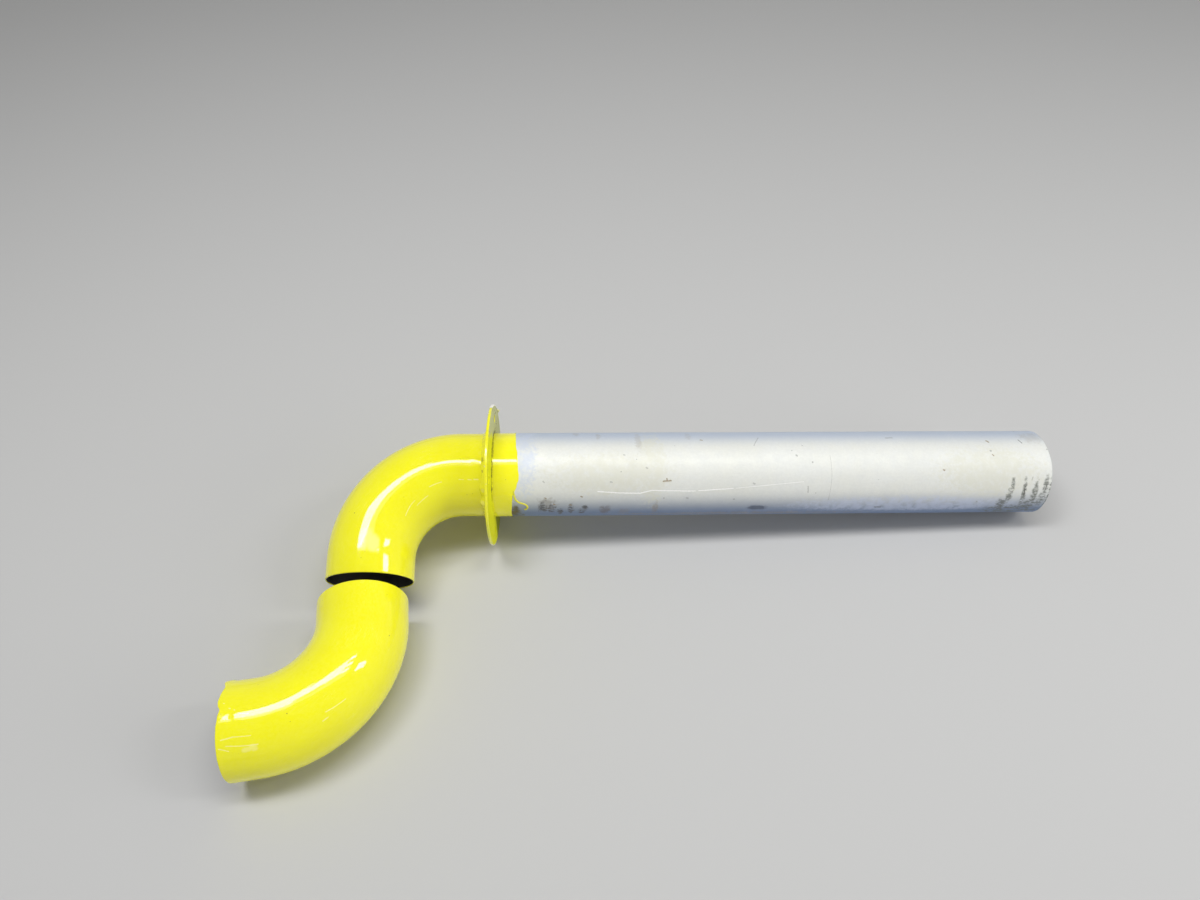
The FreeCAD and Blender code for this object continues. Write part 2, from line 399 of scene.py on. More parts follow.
class Effects:
    """Surface effects that several finishes share, each built once as a node group."""

    def __init__(self) -> None:
        """Build every group."""
        self.patch = self._patch()
        self.line = self._line()
        self.specks = self._specks()
        self.hairlines = self._hairlines()
        self.peel = self._peel()
        self.mottle = self._mottle()

    @staticmethod
    def _patch() -> bpy.types.NodeTree:
        """Soft oval patch with a ragged edge.

        Returns:
            The group.
        """
        group = Group("soft_patch", ("Place", "Centre", "Half Size"), ("Ragged",))
        offset = group.vector("SUBTRACT", group.place, group.given["Centre"])
        reach = group.vector("LENGTH", group.vector("DIVIDE", offset, group.given["Half Size"]))
        fray = group.minus(group.noise(group.place, 420.0, 4.0, 0.65), 0.5)
        frayed = group.raised(reach, fray, group.given["Ragged"])
        return group.finish(group.ramp(frayed, 0.45, 1.0, 1.0, 0.0))

    @staticmethod
    def _line() -> bpy.types.NodeTree:
        """Thin straight mark between two points.

        Returns:
            The group.
        """
        group = Group("thin_line", ("Place", "From", "To"), ("Width",))
        along = group.vector("SUBTRACT", group.given["To"], group.given["From"])
        offset = group.vector("SUBTRACT", group.place, group.given["From"])
        part = group.node("ShaderNodeClamp")
        ratio = group.math("DIVIDE", group.dot(offset, along), group.dot(along, along))
        group.feed(part.inputs["Value"], ratio)
        nearest = group.vector("SCALE", along, part.outputs[0])
        gap = group.vector("LENGTH", group.vector("SUBTRACT", offset, nearest))
        wobble = group.noise(group.place, 900.0, 3.0)
        depth = group.math("DIVIDE", gap, group.times(group.given["Width"], wobble))
        return group.finish(group.ramp(depth, 0.6, 1.6, 1.0, 0.0))

    @staticmethod
    def _specks() -> bpy.types.NodeTree:
        """Small scattered dots that come in loose clusters.

        Returns:
            The group.
        """
        group = Group("specks", ("Place",), ("Scale", "Amount"))
        cells = group.node("ShaderNodeTexVoronoi")
        group.feed(cells.inputs["Vector"], group.place)
        group.feed(cells.inputs["Scale"], group.given["Scale"])
        cluster = group.noise(group.place, 60.0, 3.0)
        chance = group.times(group.ramp(cluster, 0.42, 0.7), group.given["Amount"])
        shade = group.node("ShaderNodeSeparateColor")
        group.feed(shade.inputs[0], cells.outputs["Color"])
        picked = group.math("LESS_THAN", shade.outputs[0], chance)
        size = group.times(shade.outputs[1], 0.38)
        dot = group.math("LESS_THAN", cells.outputs["Distance"], size)
        return group.finish(group.times(picked, dot))

    @staticmethod
    def _hairlines() -> bpy.types.NodeTree:
        """Fine handling scratches that run mostly along the piece.

        Returns:
            The group.
        """
        group = Group("hairlines", ("Place", "Stretch"), ("Amount",))
        stretched = group.vector("MULTIPLY", group.place, group.given["Stretch"])
        lines = group.noise(stretched, 1.0, 2.0, 0.7)
        ridge = group.ramp(group.math("ABSOLUTE", group.minus(lines, 0.5)), 0.0, 0.012, 1.0, 0.0)
        where = group.ramp(group.noise(group.place, 45.0, 2.0), 0.5, 0.68)
        return group.finish(group.times(group.times(ridge, where), group.given["Amount"]))

    @staticmethod
    def _peel() -> bpy.types.NodeTree:
        """Height of the slight waviness of thick sprayed paint.

        Returns:
            The group.
        """
        group = Group("paint_peel", ("Place",), ("Fine", "Broad"), "Height")
        fine = group.times(group.noise(group.place, 520.0, 1.0), group.given["Fine"])
        return group.finish(group.raised(fine, group.noise(group.place, 110.0, 1.0), group.given["Broad"]))

    @staticmethod
    def _mottle() -> bpy.types.NodeTree:
        """Cloudy mask with a set contrast.

        Returns:
            The group.
        """
        group = Group("mottle", ("Place",), ("Scale",))
        clouds = group.noise(group.place, group.given["Scale"], 5.0, 0.6)
        return group.finish(group.ramp(clouds, 0.32, 0.68))


EFFECTS = Effects()


@dataclass(frozen=True)
class Mark:
    """A thin line on a surface, between places given as length along and length around."""

    start: tuple[float, float]
    end: tuple[float, float]
    width: float


@dataclass(frozen=True)
class Patch:
    """A soft patch on a surface, given by its middle and its half size, along and around."""

    centre: tuple[float, float]
    half: tuple[float, float]
    ragged: float = 1.2


@dataclass(frozen=True)
class Stain:
    """Patches of one tone on a surface."""

    tone: Colour
    strength: float
    areas: tuple[Patch, ...]
    texture: Texture = Texture.CLOUDY


class Surface:
    """A material being built: one Principled shader with its graph and the usual places."""

    def __init__(self, name: str) -> None:
        """Start a material.

        Args:
            name: The material's name.
        """
        self.material = bpy.data.materials.new(name)
        self.material.use_nodes = True
        tree = self.material.node_tree
        tree.nodes.clear()
        self.graph = Graph(tree)
        self.shader = self.graph.node("ShaderNodeBsdfPrincipled")
        output = self.graph.node("ShaderNodeOutputMaterial")
        tree.links.new(self.shader.outputs[0], output.inputs["Surface"])
        self.place = self.graph.attribute("own_place")
        self.unrolled = self.graph.attribute("unrolled")

    def set(self, **values: object) -> None:
        """Set or link the shader's sockets, with underscores for spaces."""
        for name, value in values.items():
            self.graph.feed(self.shader.inputs[name.replace("_", " ")], value)

    def bump(self, height: Socket, depth: float) -> None:
        """Feed the shader's normal from a height of a given depth in metres.

        Args:
            height: The height, in its own measure.
            depth: Depth of a height of 1.
        """
        item = self.graph.node("ShaderNodeBump")
        for name, value in (("Strength", 1.0), ("Distance", depth), ("Height", height)):
            self.graph.feed(item.inputs[name], value)
        self.graph.feed(self.shader.inputs["Normal"], item.outputs["Normal"])

    def effect(self, group: bpy.types.NodeTree, **values: object) -> Socket:
        """Shared effect at the piece's own place."""
        return self.graph.call(group, Place=self.place, **values)

    def mottle(self, scale: float) -> Socket:
        """Cloudy mask at the piece's own place."""
        return self.effect(EFFECTS.mottle, Scale=scale)

    def unrolled_effect(self, group: bpy.types.NodeTree, **values: object) -> Socket:
        """Shared effect at the place on the unrolled surface."""
        return self.graph.call(group, Place=self.unrolled, **values)

    def marks(self, lines: Sequence[Mark]) -> Socket:
        """Mask of several thin lines.

        Args:
            lines: The lines.

        Returns:
            The mask.
        """
        masks = [
            self.unrolled_effect(
                EFFECTS.line, From=(*line.start, 0.0), To=(*line.end, 0.0), Width=line.width
            )
            for line in lines
        ]
        return self.graph.strongest(masks)

    def patches(self, areas: Sequence[Patch]) -> Socket:
        """Mask of several soft patches.

        Args:
            areas: The patches.

        Returns:
            The mask.
        """
        masks = [
            self.unrolled_effect(
                EFFECTS.patch, Centre=(*area.centre, 0.0), Half_Size=(*area.half, 1.0), Ragged=area.ragged
            )
            for area in areas
        ]
        return self.graph.strongest(masks)


@dataclass(frozen=True)
class GlossPaint:
    """Thick glossy yellow paint with slight waves, fine scratches and faint dirt; its pale patches hold
    scuffs and painted highlights, and its dark marks hold dirt and painted shade.
    """

    name: str
    colour: Colour = (0.885, 0.852, 0.011)
    deep_colour: Colour = (0.82, 0.75, 0.008)
    scratch_colour: Colour = (0.97, 0.93, 0.42)
    dirt_and_shade_colour: Colour = (0.20, 0.15, 0.03)
    roughness: float = 0.13
    hair_stretch: Point = (70.0, 900.0, 1.0)
    wave_depth: float = 0.00012
    scratches: tuple[Mark, ...] = ()
    scuffs_and_highlights: tuple[Patch, ...] = ()
    dirt_and_shade_marks: tuple[Mark, ...] = ()
    dirt_and_shade_strength: float = 0.5

    def build(self) -> bpy.types.Material:
        """Build the material.

        Returns:
            The finished material.
        """
        surface = Surface(self.name)
        graph = surface.graph
        colour = graph.tint(surface.mottle(38.0), 0.32, self.colour, self.deep_colour)
        colour = graph.tint(surface.mottle(620.0), 0.04, colour, self.scratch_colour)
        scratched = surface.unrolled_effect(EFFECTS.hairlines, Stretch=self.hair_stretch, Amount=0.35)
        if self.scratches:
            scratched = graph.strongest([scratched, surface.marks(self.scratches)])
        colour = graph.tint(scratched, 0.62, colour, self.scratch_colour)
        # Dark specks and marks: dirt, and in the marks beside the flange, painted shade of the gap.
        dirt_and_shade = graph.times(surface.effect(EFFECTS.specks, Scale=900.0, Amount=0.03), 0.6)
        if self.dirt_and_shade_marks:
            stripes = graph.times(surface.marks(self.dirt_and_shade_marks), self.dirt_and_shade_strength)
            dirt_and_shade = graph.strongest([dirt_and_shade, stripes])
        colour = graph.blend(dirt_and_shade, colour, self.dirt_and_shade_colour)
        rough = graph.raised(self.roughness, surface.mottle(95.0), 0.07)
        # Pale patches: scuffs, painted highlights on the weld's lumps and a painted reflection near the
        # upper bend's mouth.
        if self.scuffs_and_highlights:
            scuffed_and_highlighted = surface.patches(self.scuffs_and_highlights)
            rough = graph.raised(rough, scuffed_and_highlighted, 0.12)
            colour = graph.tint(scuffed_and_highlighted, 0.34, colour, self.scratch_colour)
        rough = graph.raised(rough, dirt_and_shade, 0.4)
        peel = surface.effect(EFFECTS.peel, Fine=0.10, Broad=1.0)
        surface.set(Base_Color=colour, Roughness=rough, Specular_IOR_Level=0.05)
        surface.set(Coat_Weight=1.0, Coat_Roughness=0.04, Coat_IOR=1.5)
        surface.bump(graph.raised(peel, scratched, -0.12), self.wave_depth)
        return surface.material


@dataclass(frozen=True)
class WornAluminium:
    """Dull pale aluminium tube with cloudy stains, grime, specks and scratches, and painted shade on its
    upper far side and lower near side.
    """

    name: str
    colour: Colour = (0.78, 0.79, 0.75)
    warm_colour: Colour = (0.69, 0.685, 0.57)
    cool_colour: Colour = (0.62, 0.66, 0.77)
    sand_colour: Colour = (0.60, 0.60, 0.56)
    # Painted shade: the next two colours darken the upper far side and the lower near side.
    painted_shade_far_colour: Colour = (0.46, 0.53, 0.65)
    painted_shade_under_colour: Colour = (0.18, 0.24, 0.37)
    grime_colour: Colour = (0.10, 0.098, 0.085)
    brown_colour: Colour = (0.33, 0.26, 0.16)
    bright_colour: Colour = (0.96, 0.96, 0.94)
    metallic: float = 0.25
    roughness: float = 0.58
    hair_stretch: Point = (60.0, 1500.0, 1.0)
    grain_stretch: Point = (0.12, 1.0, 1.0)
    grain_depth: float = 0.00004
    bright_marks: tuple[Mark, ...] = ()
    brown_marks: tuple[Mark, ...] = ()
    dark_marks: tuple[Mark, ...] = ()
    faint_marks: tuple[Mark, ...] = ()
    stains: tuple[Stain, ...] = ()

    def build(self) -> bpy.types.Material:
        """Build the material.

        Returns:
            The finished material.
        """
        surface = Surface(self.name)
        graph, place = surface.graph, surface.place
        _, side, up = graph.split(place)
        fine = surface.mottle(160.0)
        colour = graph.tint(surface.mottle(22.0), 0.20, self.colour, self.warm_colour)
        colour = graph.tint(fine, 0.10, colour, self.cool_colour)
        colour = graph.tint(surface.mottle(700.0), 0.16, colour, self.sand_colour)
        # Painted shade and reflection: the upper far side and the lower near side get darker, bluer copies
        # of the metal's colour.
        far = graph.ramp(side, -0.013, 0.002, 0.85, 0.0)
        colour = graph.tint(far, graph.ramp(up, 0.004, 0.012), colour, self.painted_shade_far_colour)
        painted_under_shade = graph.ramp(up, -0.008, 0.013, 1.0, 0.0)
        colour = graph.tint(painted_under_shade, graph.ramp(side, -0.006, 0.010), colour, self.painted_shade_under_colour)
        stretched = graph.vector("MULTIPLY", place, (0.6, 1.0, 1.0))
        cover = {
            Texture.CLOUDY: graph.ramp(graph.noise(place, 230.0, 4.0, 0.65), 0.22, 0.60),
            Texture.GRAINY: graph.ramp(graph.noise(stretched, 560.0, 4.0, 0.7), 0.36, 0.57),
            Texture.SMOOTH: 1.0,
        }
        for stain in self.stains:
            uneven = graph.times(cover[stain.texture], stain.strength)
            colour = graph.tint(surface.patches(stain.areas), uneven, colour, stain.tone)
        shares = (
            (surface.effect(EFFECTS.specks, Scale=430.0, Amount=0.03), 0.40),
            (surface.marks(self.dark_marks), 0.75),
            (surface.marks(self.faint_marks), 0.32),
        )
        dark = graph.strongest([graph.times(mask, share) for mask, share in shares])
        colour = graph.blend(dark, colour, self.grime_colour)
        colour = graph.tint(surface.marks(self.brown_marks), 0.85, colour, self.brown_colour)
        hair = surface.unrolled_effect(EFFECTS.hairlines, Stretch=self.hair_stretch, Amount=0.6)
        bright = graph.strongest([surface.marks(self.bright_marks), graph.times(hair, 0.5)])
        colour = graph.blend(bright, colour, self.bright_colour)
        rough = graph.raised(self.roughness, fine, 0.12)
        rough = graph.raised(graph.raised(rough, dark, 0.3), bright, -0.12)
        metal = graph.times(graph.minus(1.0, dark), self.metallic)
        grain = graph.noise(graph.vector("MULTIPLY", place, self.grain_stretch), 1400.0, 2.0)
        surface.set(Base_Color=colour, Roughness=rough, Metallic=metal, Specular_IOR_Level=0.35)
        surface.bump(graph.raised(grain, bright, -1.5), self.grain_depth)
        return surface.material


@dataclass(frozen=True)
class DuctInside:
    """Dull inside of a tube, with darker cloudy patches."""

    name: str
    colour: Colour
    dark_patch_colour: Colour
    metallic: float
    grain_depth: float = 0.00008

    def build(self) -> bpy.types.Material:
        """Build the material.

        Returns:
            The finished material.
        """
        surface = Surface(self.name)
        graph = surface.graph
        clouds = surface.mottle(55.0)
        surface.set(
            Base_Color=graph.blend(clouds, self.colour, self.dark_patch_colour),
            Roughness=graph.raised(0.5, clouds, 0.2),
            Metallic=graph.times(graph.minus(1.0, clouds), self.metallic),
        )
        surface.bump(graph.noise(surface.place, 700.0, 3.0), self.grain_depth)
        return surface.material


# Mesh building


@dataclass(frozen=True)
class Section:
    """Rings of points along a piece, with what the finishes need to know of each point."""

    points: np.ndarray
    own: np.ndarray
    unrolled: np.ndarray
    material: list[int]


def full_circle(count: int) -> np.ndarray:
    """Even angles once round, from minus half a turn."""
    return np.linspace(-math.pi, math.pi, count, endpoint=False)


def add_object(name: str, data: bpy.types.ID) -> bpy.types.Object:
    """Put a new object with its data into the scene.

    Args:
        name: The object's name.
        data: Its mesh, curve, light or camera.

    Returns:
        The object.
    """
    item = bpy.data.objects.new(name, data)
    bpy.context.scene.collection.objects.link(item)
    return item


def settled_mesh(item: bpy.types.Object) -> bpy.types.Mesh:
    """Mesh of an object as its modifiers or its curve make it.

    Args:
        item: The object.

    Returns:
        The new mesh.
    """
    bpy.context.view_layer.update()
    graph = bpy.context.evaluated_depsgraph_get()
    return bpy.data.meshes.new_from_object(item.evaluated_get(graph))


def new_object(name: str, points: np.ndarray, faces: Sequence[Sequence[int]]) -> bpy.types.Object:
    """Make a smooth mesh object in the scene.

    Args:
        name: The object's name.
        points: Array of shape (n, 3).
        faces: Point numbers of each face.

    Returns:
        The new object.
    """
    mesh = bpy.data.meshes.new(name)
    mesh.from_pydata(points.tolist(), [], faces)
    mesh.update()
    mesh.shade_smooth()
    return add_object(name, mesh)


def carry_vector(piece: bpy.types.Object, name: str, values: np.ndarray) -> None:
    """Store a vector at each point of a mesh, for the finishes to read."""
    layer = piece.data.attributes.new(name, "FLOAT_VECTOR", "POINT")
    layer.data.foreach_set("vector", values.astype(np.float32).ravel())


def ring_mesh(name: str, section: Section) -> bpy.types.Object:
    """Join rings of points into a closed mesh, the last ring to the first.

    Args:
        name: The object's name.
        section: Points as an array of shape (rings, around, 3) with their finish places.

    Returns:
        The new object.
    """
    rings, around = section.points.shape[:2]
    here = np.arange(rings * around).reshape(rings, around)
    after = np.roll(here, -1, 0)
    faces = np.stack([here, after, np.roll(after, -1, 1), np.roll(here, -1, 1)], -1)
    piece = new_object(name, section.points.reshape(-1, 3), faces.reshape(-1, 4).tolist())
    kinds = np.repeat(section.material, around)
    piece.data.polygons.foreach_set("material_index", kinds.tolist())
    carry_vector(piece, "own_place", section.own)
    carry_vector(piece, "unrolled", section.unrolled)
    face_outward(piece)
    return piece


def face_outward(piece: bpy.types.Object) -> None:
    """Turn every face of a closed mesh outward.

    Args:
        piece: The object.
    """
    mesh = bmesh.new()
    mesh.from_mesh(piece.data)
    bmesh.ops.recalc_face_normals(mesh, faces=mesh.faces)
    mesh.to_mesh(piece.data)
    mesh.free()


def dress(piece: bpy.types.Object, materials: Sequence[bpy.types.Material]) -> None:
    """Give a piece its finishes and its ride.

    Args:
        piece: The object.
        materials: Its finishes, by their numbers.
    """
    for material in materials:
        piece.data.materials.append(material)
    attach(piece, BODY)
    LOG.info("%s: %d faces", piece.name, len(piece.data.polygons))


@dataclass
class Pipe:
    """Thin-walled pipe along a straight or bent line, with rounded rims at both ends.

    Angles around the pipe start at its upper side and grow towards the inside of the bend.
    """

    radius: float
    wall: float
    length: float
    straight: float = 0.0
    bend_radius: float = 0.0
    around: int = 176
    outer_rings: int = 150
    inner_rings: int = 50
    rim_rings: int = 5
    seat_up: Bend = Bend.FACE_UP
    swell: Unevenness | None = None
    end_shift: Unevenness | None = None

    def spine(self, along: np.ndarray) -> tuple[np.ndarray, np.ndarray]:
        """Middle line of the pipe.

        Args:
            along: Lengths from the pipe's first mouth.

        Returns:
            The line's points and the directions towards the bend's inside.
        """
        zero = np.zeros_like(along)
        if self.bend_radius == 0.0:
            return np.stack([along, zero, zero], -1), np.stack([zero, zero - 1, zero], -1)
        turn = np.clip((along - self.straight) / self.bend_radius, 0.0, math.pi / 2)
        after = np.maximum(along - self.straight - self.bend_radius * math.pi / 2, 0.0)
        sine, cosine = np.sin(turn), np.cos(turn)
        x = -np.minimum(along, self.straight) - self.bend_radius * sine
        y = -self.bend_radius * (1 - cosine) - after
        return np.stack([x, y, zero], -1), np.stack([sine, -cosine, zero], -1)

    def profile(self) -> list[tuple[float, float, int]]:
        """Closed outline of the wall as lengths, depths below the outside and finish numbers.

        Returns:
            One entry for each ring. Finish 0 is the outside and 1 the inside.
        """
        rim = self.wall / 2
        span = self.length - 2 * rim
        turns = np.linspace(0, math.pi, self.rim_rings + 2)[1:-1]
        rows = [(rim + part * span, 0.0, 0) for part in np.linspace(0, 1, self.outer_rings)]
        for turn in turns:
            rows.append((self.length - rim + rim * math.sin(turn), rim * (1 - math.cos(turn)), 0))
        rows += [(rim + part * span, self.wall, 1) for part in np.linspace(1, 0, self.inner_rings)]
        for turn in turns[::-1]:
            rows.append((rim - rim * math.sin(turn), rim * (1 - math.cos(turn)), 0))
        return rows

    def section(self, axes: Axes) -> Section:
        """Work out every ring of the pipe.

        Args:
            axes: Where the pipe lies.

        Returns:
            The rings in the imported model's frame.
        """
        lengths, depths, finishes = zip(*self.profile())
        along, depth = (np.repeat(np.array(part)[:, None], self.around, 1) for part in (lengths, depths))
        angle = np.repeat(full_circle(self.around)[None], len(lengths), 0)
        if self.end_shift is not None:
            along = along + self.end_shift(along, angle)
        radius = self.radius - depth
        if self.swell is not None:
            radius = radius + self.swell(along, angle)
        middle, inward = self.spine(along)
        across, rise = radius * np.sin(angle), radius * np.cos(angle)
        up = np.array([0.0, 0.0, float(self.seat_up.value)])
        points = middle + across[..., None] * inward + rise[..., None] * up
        own = np.stack([along, across, rise], -1)
        unrolled = np.stack([along, self.radius * angle, along * 0], -1)
        return Section(axes.place(points), own, unrolled, list(finishes))


# Sub-assemblies


@dataclass
class TubeAxes:
    """Where the straight tube, the flange and the bends lie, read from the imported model."""

    radius: float = field(init=False)
    wall: float = field(init=False)
    axes: Axes = field(init=False)
    reach: float = field(init=False)

    def __post_init__(self) -> None:
        """Read the tube's axis, radius, wall and length."""
        screws = mount("flange_screws")
        along = Vector(screws["axis"]).normalized()
        across = Vector((0.0, 1.0, 0.0))
        self.axes = Axes(Vector(screws["pos_m"]), along, across, along.cross(across))
        self.radius = mount("outlet_outside")["dims"]["r_mm"] * MM
        self.wall = self.radius - mount("tube_end_bore")["dims"]["r_mm"] * MM
        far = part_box("straight_tube")[1].x
        lean = self.radius * self.axes.z.x
        self.reach = (far - self.axes.origin.x - lean) / along.x

    def spot(self, along: float, angle: float, start: float = 0.0) -> tuple[float, float]:
        """Place on a tube from a length in millimetres past a start and an angle in degrees."""
        return start + along * MM, self.radius * math.radians(angle)

    def marks(self, rows: Sequence[Sequence[float]], start: float = 0.0) -> tuple[Mark, ...]:
        """Thin marks on a tube.

        Args:
            rows: Length and angle of each end, then the width, in millimetres and degrees.
            start: Where the lengths start, in metres.

        Returns:
            The marks.
        """
        return tuple(
            Mark(self.spot(first, turn, start), self.spot(last, end_turn, start), width * MM)
            for first, turn, last, end_turn, width in rows
        )

    def patches(self, rows: Sequence[Sequence[float]], start: float = 0.0) -> tuple[Patch, ...]:
        """Soft patches on a tube.

        Args:
            rows: Length, angle, half length, half width around and raggedness of each patch.
            start: Where the lengths start, in metres.

        Returns:
            The patches.
        """
        return tuple(
            Patch(self.spot(along, angle, start), (half * MM, half_around * MM), ragged)
            for along, angle, half, half_around, ragged in rows
        )

    def sleeve(self, rows: Sequence[tuple[np.ndarray, np.ndarray]], angle: np.ndarray, side: int) -> Section:
        """Rings round the tube, of one finish.

        Args:
            rows: Lengths and heights above the tube at every angle, for each ring.
            angle: Angles around the tube.
            side: Sense in which the finish places run across the tube, 1 or -1.

        Returns:
            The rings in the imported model's frame.
        """
        along, rise = (np.stack([row[part] for row in rows]) for part in (0, 1))
        across, height = (self.radius + rise) * np.sin(angle), (self.radius + rise) * np.cos(angle)
        points = self.axes.place(np.stack([along, -across, height], -1))
        own = np.stack([along, side * across, height], -1)
        unrolled = np.stack([along, self.radius * angle + along * 0, along * 0], -1)
        return Section(points, own, unrolled, [0] * len(rows))


@dataclass
class StraightTube:
    """Bare aluminium tube with its painted collar beside the flange."""

    place: TubeAxes
    stand_out: float = 0.0049
    marks_start: float = 0.0028
    film: float = 0.00022
    film_unevenness: float = 0.00012
    masked_from: float = 67.0
    masked_to: float = 128.0
    wave: float = 0.00006
    end_zone: float = 0.012
    inside_colour: Colour = (0.33, 0.33, 0.32)
    inside_dark_patch_colour: Colour = (0.12, 0.115, 0.10)
    run_colour: Colour = (0.72, 0.68, 0.05)
    run_deep_colour: Colour = (0.52, 0.47, 0.04)

    def _swell(self, along: np.ndarray, angle: np.ndarray) -> np.ndarray:
        """Very slight unevenness of the thin wall."""
        slow = np.sin(along * 61.0 + 2.0 * angle) * np.sin(along * 23.0 + 1.3)
        return self.wave * slow

    def _cut(self, along: np.ndarray, angle: np.ndarray) -> np.ndarray:
        """Slightly uneven cut of the open end.

        Args:
            along: Lengths from the first mouth, in metres.
            angle: Angles around, in radians.

        Returns:
            Shift of each point along the tube.
        """
        table = [(-180, -0.3), (-90, -0.5), (-24, -0.5), (3, -0.1), (30, 0.45), (55, 0.5), (100, 0.3)]
        reach = self.place.reach + self.stand_out
        near_end = smooth_step(reach - self.end_zone, reach - 0.0005, along)
        return near_end * around_table(np.degrees(angle), table) * MM

    def _finish(self) -> WornAluminium:
        """Marks and stains of the bare tube, placed by length from the flange and angle.

        Returns:
            The tube's finish.
        """
        place, start = self.place, self.marks_start
        long_scratch = ((65.0, 63.3), (78.0, 65.6), (89.8, 66.3), (96.9, 62.2), (110.0, 63.0), (122.6, 63.5))
        late_scratch = ((124.6, 63.2), (134.0, 61.6), (145.0, 60.1))
        bright = [(*a, *b, 0.62) for a, b in zip(long_scratch, long_scratch[1:])]
        bright += [(*a, *b, 0.52) for a, b in zip(late_scratch, late_scratch[1:])]
        bright.append((147.0, 59.8, 187.0, 51.5, 0.28))
        brown = (
            (103.4, 49.6, 108, 49, 0.75), (105.5, 45.8, 105.8, 49, 0.6), (301.6, -8, 302.6, -5.5, 1),
            (302.3, 15.6, 303.0, 17.4, 0.6), (271.4, 36.8, 272.0, 37.3, 0.8), (33.8, 73.0, 34.5, 74.0, 0.7),
            (38.8, 83.6, 39.6, 84.8, 0.8), (48.6, 85.0, 49.3, 86.0, 0.8), (55.0, 70.6, 55.7, 71.4, 0.8),
            (127.2, -13.0, 128.0, -12.4, 0.8),
        )
        dark = (
            (321.7, -9.6, 322.9, -3, 0.5), (233.4, 95.4, 236.6, 95.6, 0.8), (321.8, 60, 322.4, 74, 0.6),
            (335.0, 58.0, 334.8, 65.0, 0.6),
        )
        faint = (
            (326, 47.2, 325.5, 51.3, 0.5), (203.5, 15, 203.9, 43, 0.2), (203.9, 43, 203.2, 80, 0.2),
            (189.9, 58, 190.2, 67, 0.7), (240.5, -15, 244.5, -16, 1), (162.4, -17, 158.7, -1, 0.5),
            (32.8, 49.0, 33.4, 50.0, 0.8), (72.4, 50.0, 73.2, 50.4, 0.8), (80.3, 13.2, 81.0, 13.8, 0.8),
            (93.6, 31.6, 94.2, 32.2, 0.8), (117.6, 74.2, 118.6, 74.6, 0.9), (157.0, 53.4, 157.8, 54.0, 0.9),
        )
        yellowed = ((97, 30, 11, 30, 1.6), (70, 40, 45, 16, 1.6), (300, 40, 40, 20, 1.6))
        # Bluish patches beside the collar and along the tube's near side are painted reflection of cool
        # surroundings.
        painted_cool_reflection = ((21, 5, 10, 36, 1.6), (252, 90, 90, 9, 0.8))
        rusty = (
            (34.9, 84, 6.5, 6.5, 2.2), (99.5, 95, 2.2, 8, 1.8), (81, 101, 4, 4, 2.0),
            (150, 112, 90, 3.5, 2.0),
        )
        smears = (
            (89.5, -12, 2.4, 12, 1.8), (66.0, -25, 2.4, 5, 2.0), (52.5, -33, 3.0, 4, 2.0),
            (120.0, -24, 2.4, 6, 2.0), (331, -16, 10, 7, 2.0),
        )
        near_dirt = (
            (32.5, 91, 3.6, 6.5, 1.8), (37.8, 93, 3.2, 6.0, 1.8), (42.5, 101, 2.6, 4.5, 1.8),
            (49.2, 94, 2.4, 6.5, 1.6), (57.5, 93, 2.6, 4.0, 1.4), (55.6, 100, 2.4, 4.0, 1.6),
        )
        end_dirt = (
            (314.2, 60, 1.6, 8, 1.5), (313.2, 76, 2.4, 8, 1.5), (321.8, 66, 1.6, 11, 1.3),
            (322.6, 82, 2.2, 5, 1.5), (334.6, 62, 2.2, 10, 1.3), (333.6, 82, 3.6, 7, 1.5),
            (327.0, 93, 7, 6, 1.7), (318.0, 106, 22, 7, 1.6), (316.0, 114, 16, 5, 1.2),
            (310.5, 92, 4.5, 8, 1.7), (328.5, 74, 2.6, 12, 1.6), (338.0, 74, 1.8, 16, 1.5),
        )
        drips = ((67.8, 95, 2.6, 4.2, 1.0), (70.9, 94, 2.6, 4.2, 1.0), (69.2, 101, 3.2, 4.0, 1.0))
        gummy = ((15.6, 104, 4.6, 11, 1.0), (18.4, 113, 4.0, 5, 1.0))
        burnt = ((161, 94.6, 7.6, 3.4, 0.8),)
        stains = (
            ((0.69, 0.685, 0.57), 0.55, yellowed, Texture.CLOUDY),
            ((0.56, 0.62, 0.77), 0.60, painted_cool_reflection, Texture.CLOUDY),
            ((0.28, 0.24, 0.19), 0.50, rusty, Texture.CLOUDY),
            ((0.36, 0.32, 0.25), 0.26, smears, Texture.CLOUDY),
            ((0.11, 0.11, 0.115), 0.90, near_dirt, Texture.GRAINY),
            ((0.13, 0.14, 0.12), 0.80, end_dirt, Texture.GRAINY),
            ((0.17, 0.145, 0.14), 0.62, drips, Texture.CLOUDY),
            ((0.15, 0.125, 0.035), 0.92, gummy, Texture.CLOUDY),
            ((0.09, 0.11, 0.16), 0.80, burnt, Texture.SMOOTH),
        )
        return WornAluminium(
            "dull_aluminium",
            bright_marks=place.marks(bright, start),
            brown_marks=place.marks(brown, start),
            dark_marks=place.marks(dark, start),
            faint_marks=place.marks(faint, start),
            stains=tuple(
                Stain(tone, strength, place.patches(rows, start), texture)
                for tone, strength, rows, texture in stains
            ),
        )

    def build(self) -> None:
        """Build the tube, its paint collar and the paint that ran along it."""
        place = self.place
        start = place.axes.rolled(0.0, -self.stand_out)
        pipe = Pipe(
            radius=place.radius,
            wall=place.wall,
            length=place.reach + self.stand_out,
            outer_rings=260,
            inner_rings=80,
            swell=self._swell,
            end_shift=self._cut,
        )
        tube = ring_mesh("straight_tube_shell", pipe.section(start))
        inside = DuctInside("tube_inside", self.inside_colour, self.inside_dark_patch_colour, 0.5)
        dress(tube, [self._finish().build(), inside.build()])
        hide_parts("straight_tube")
        self._build_collar()
        self._build_run()

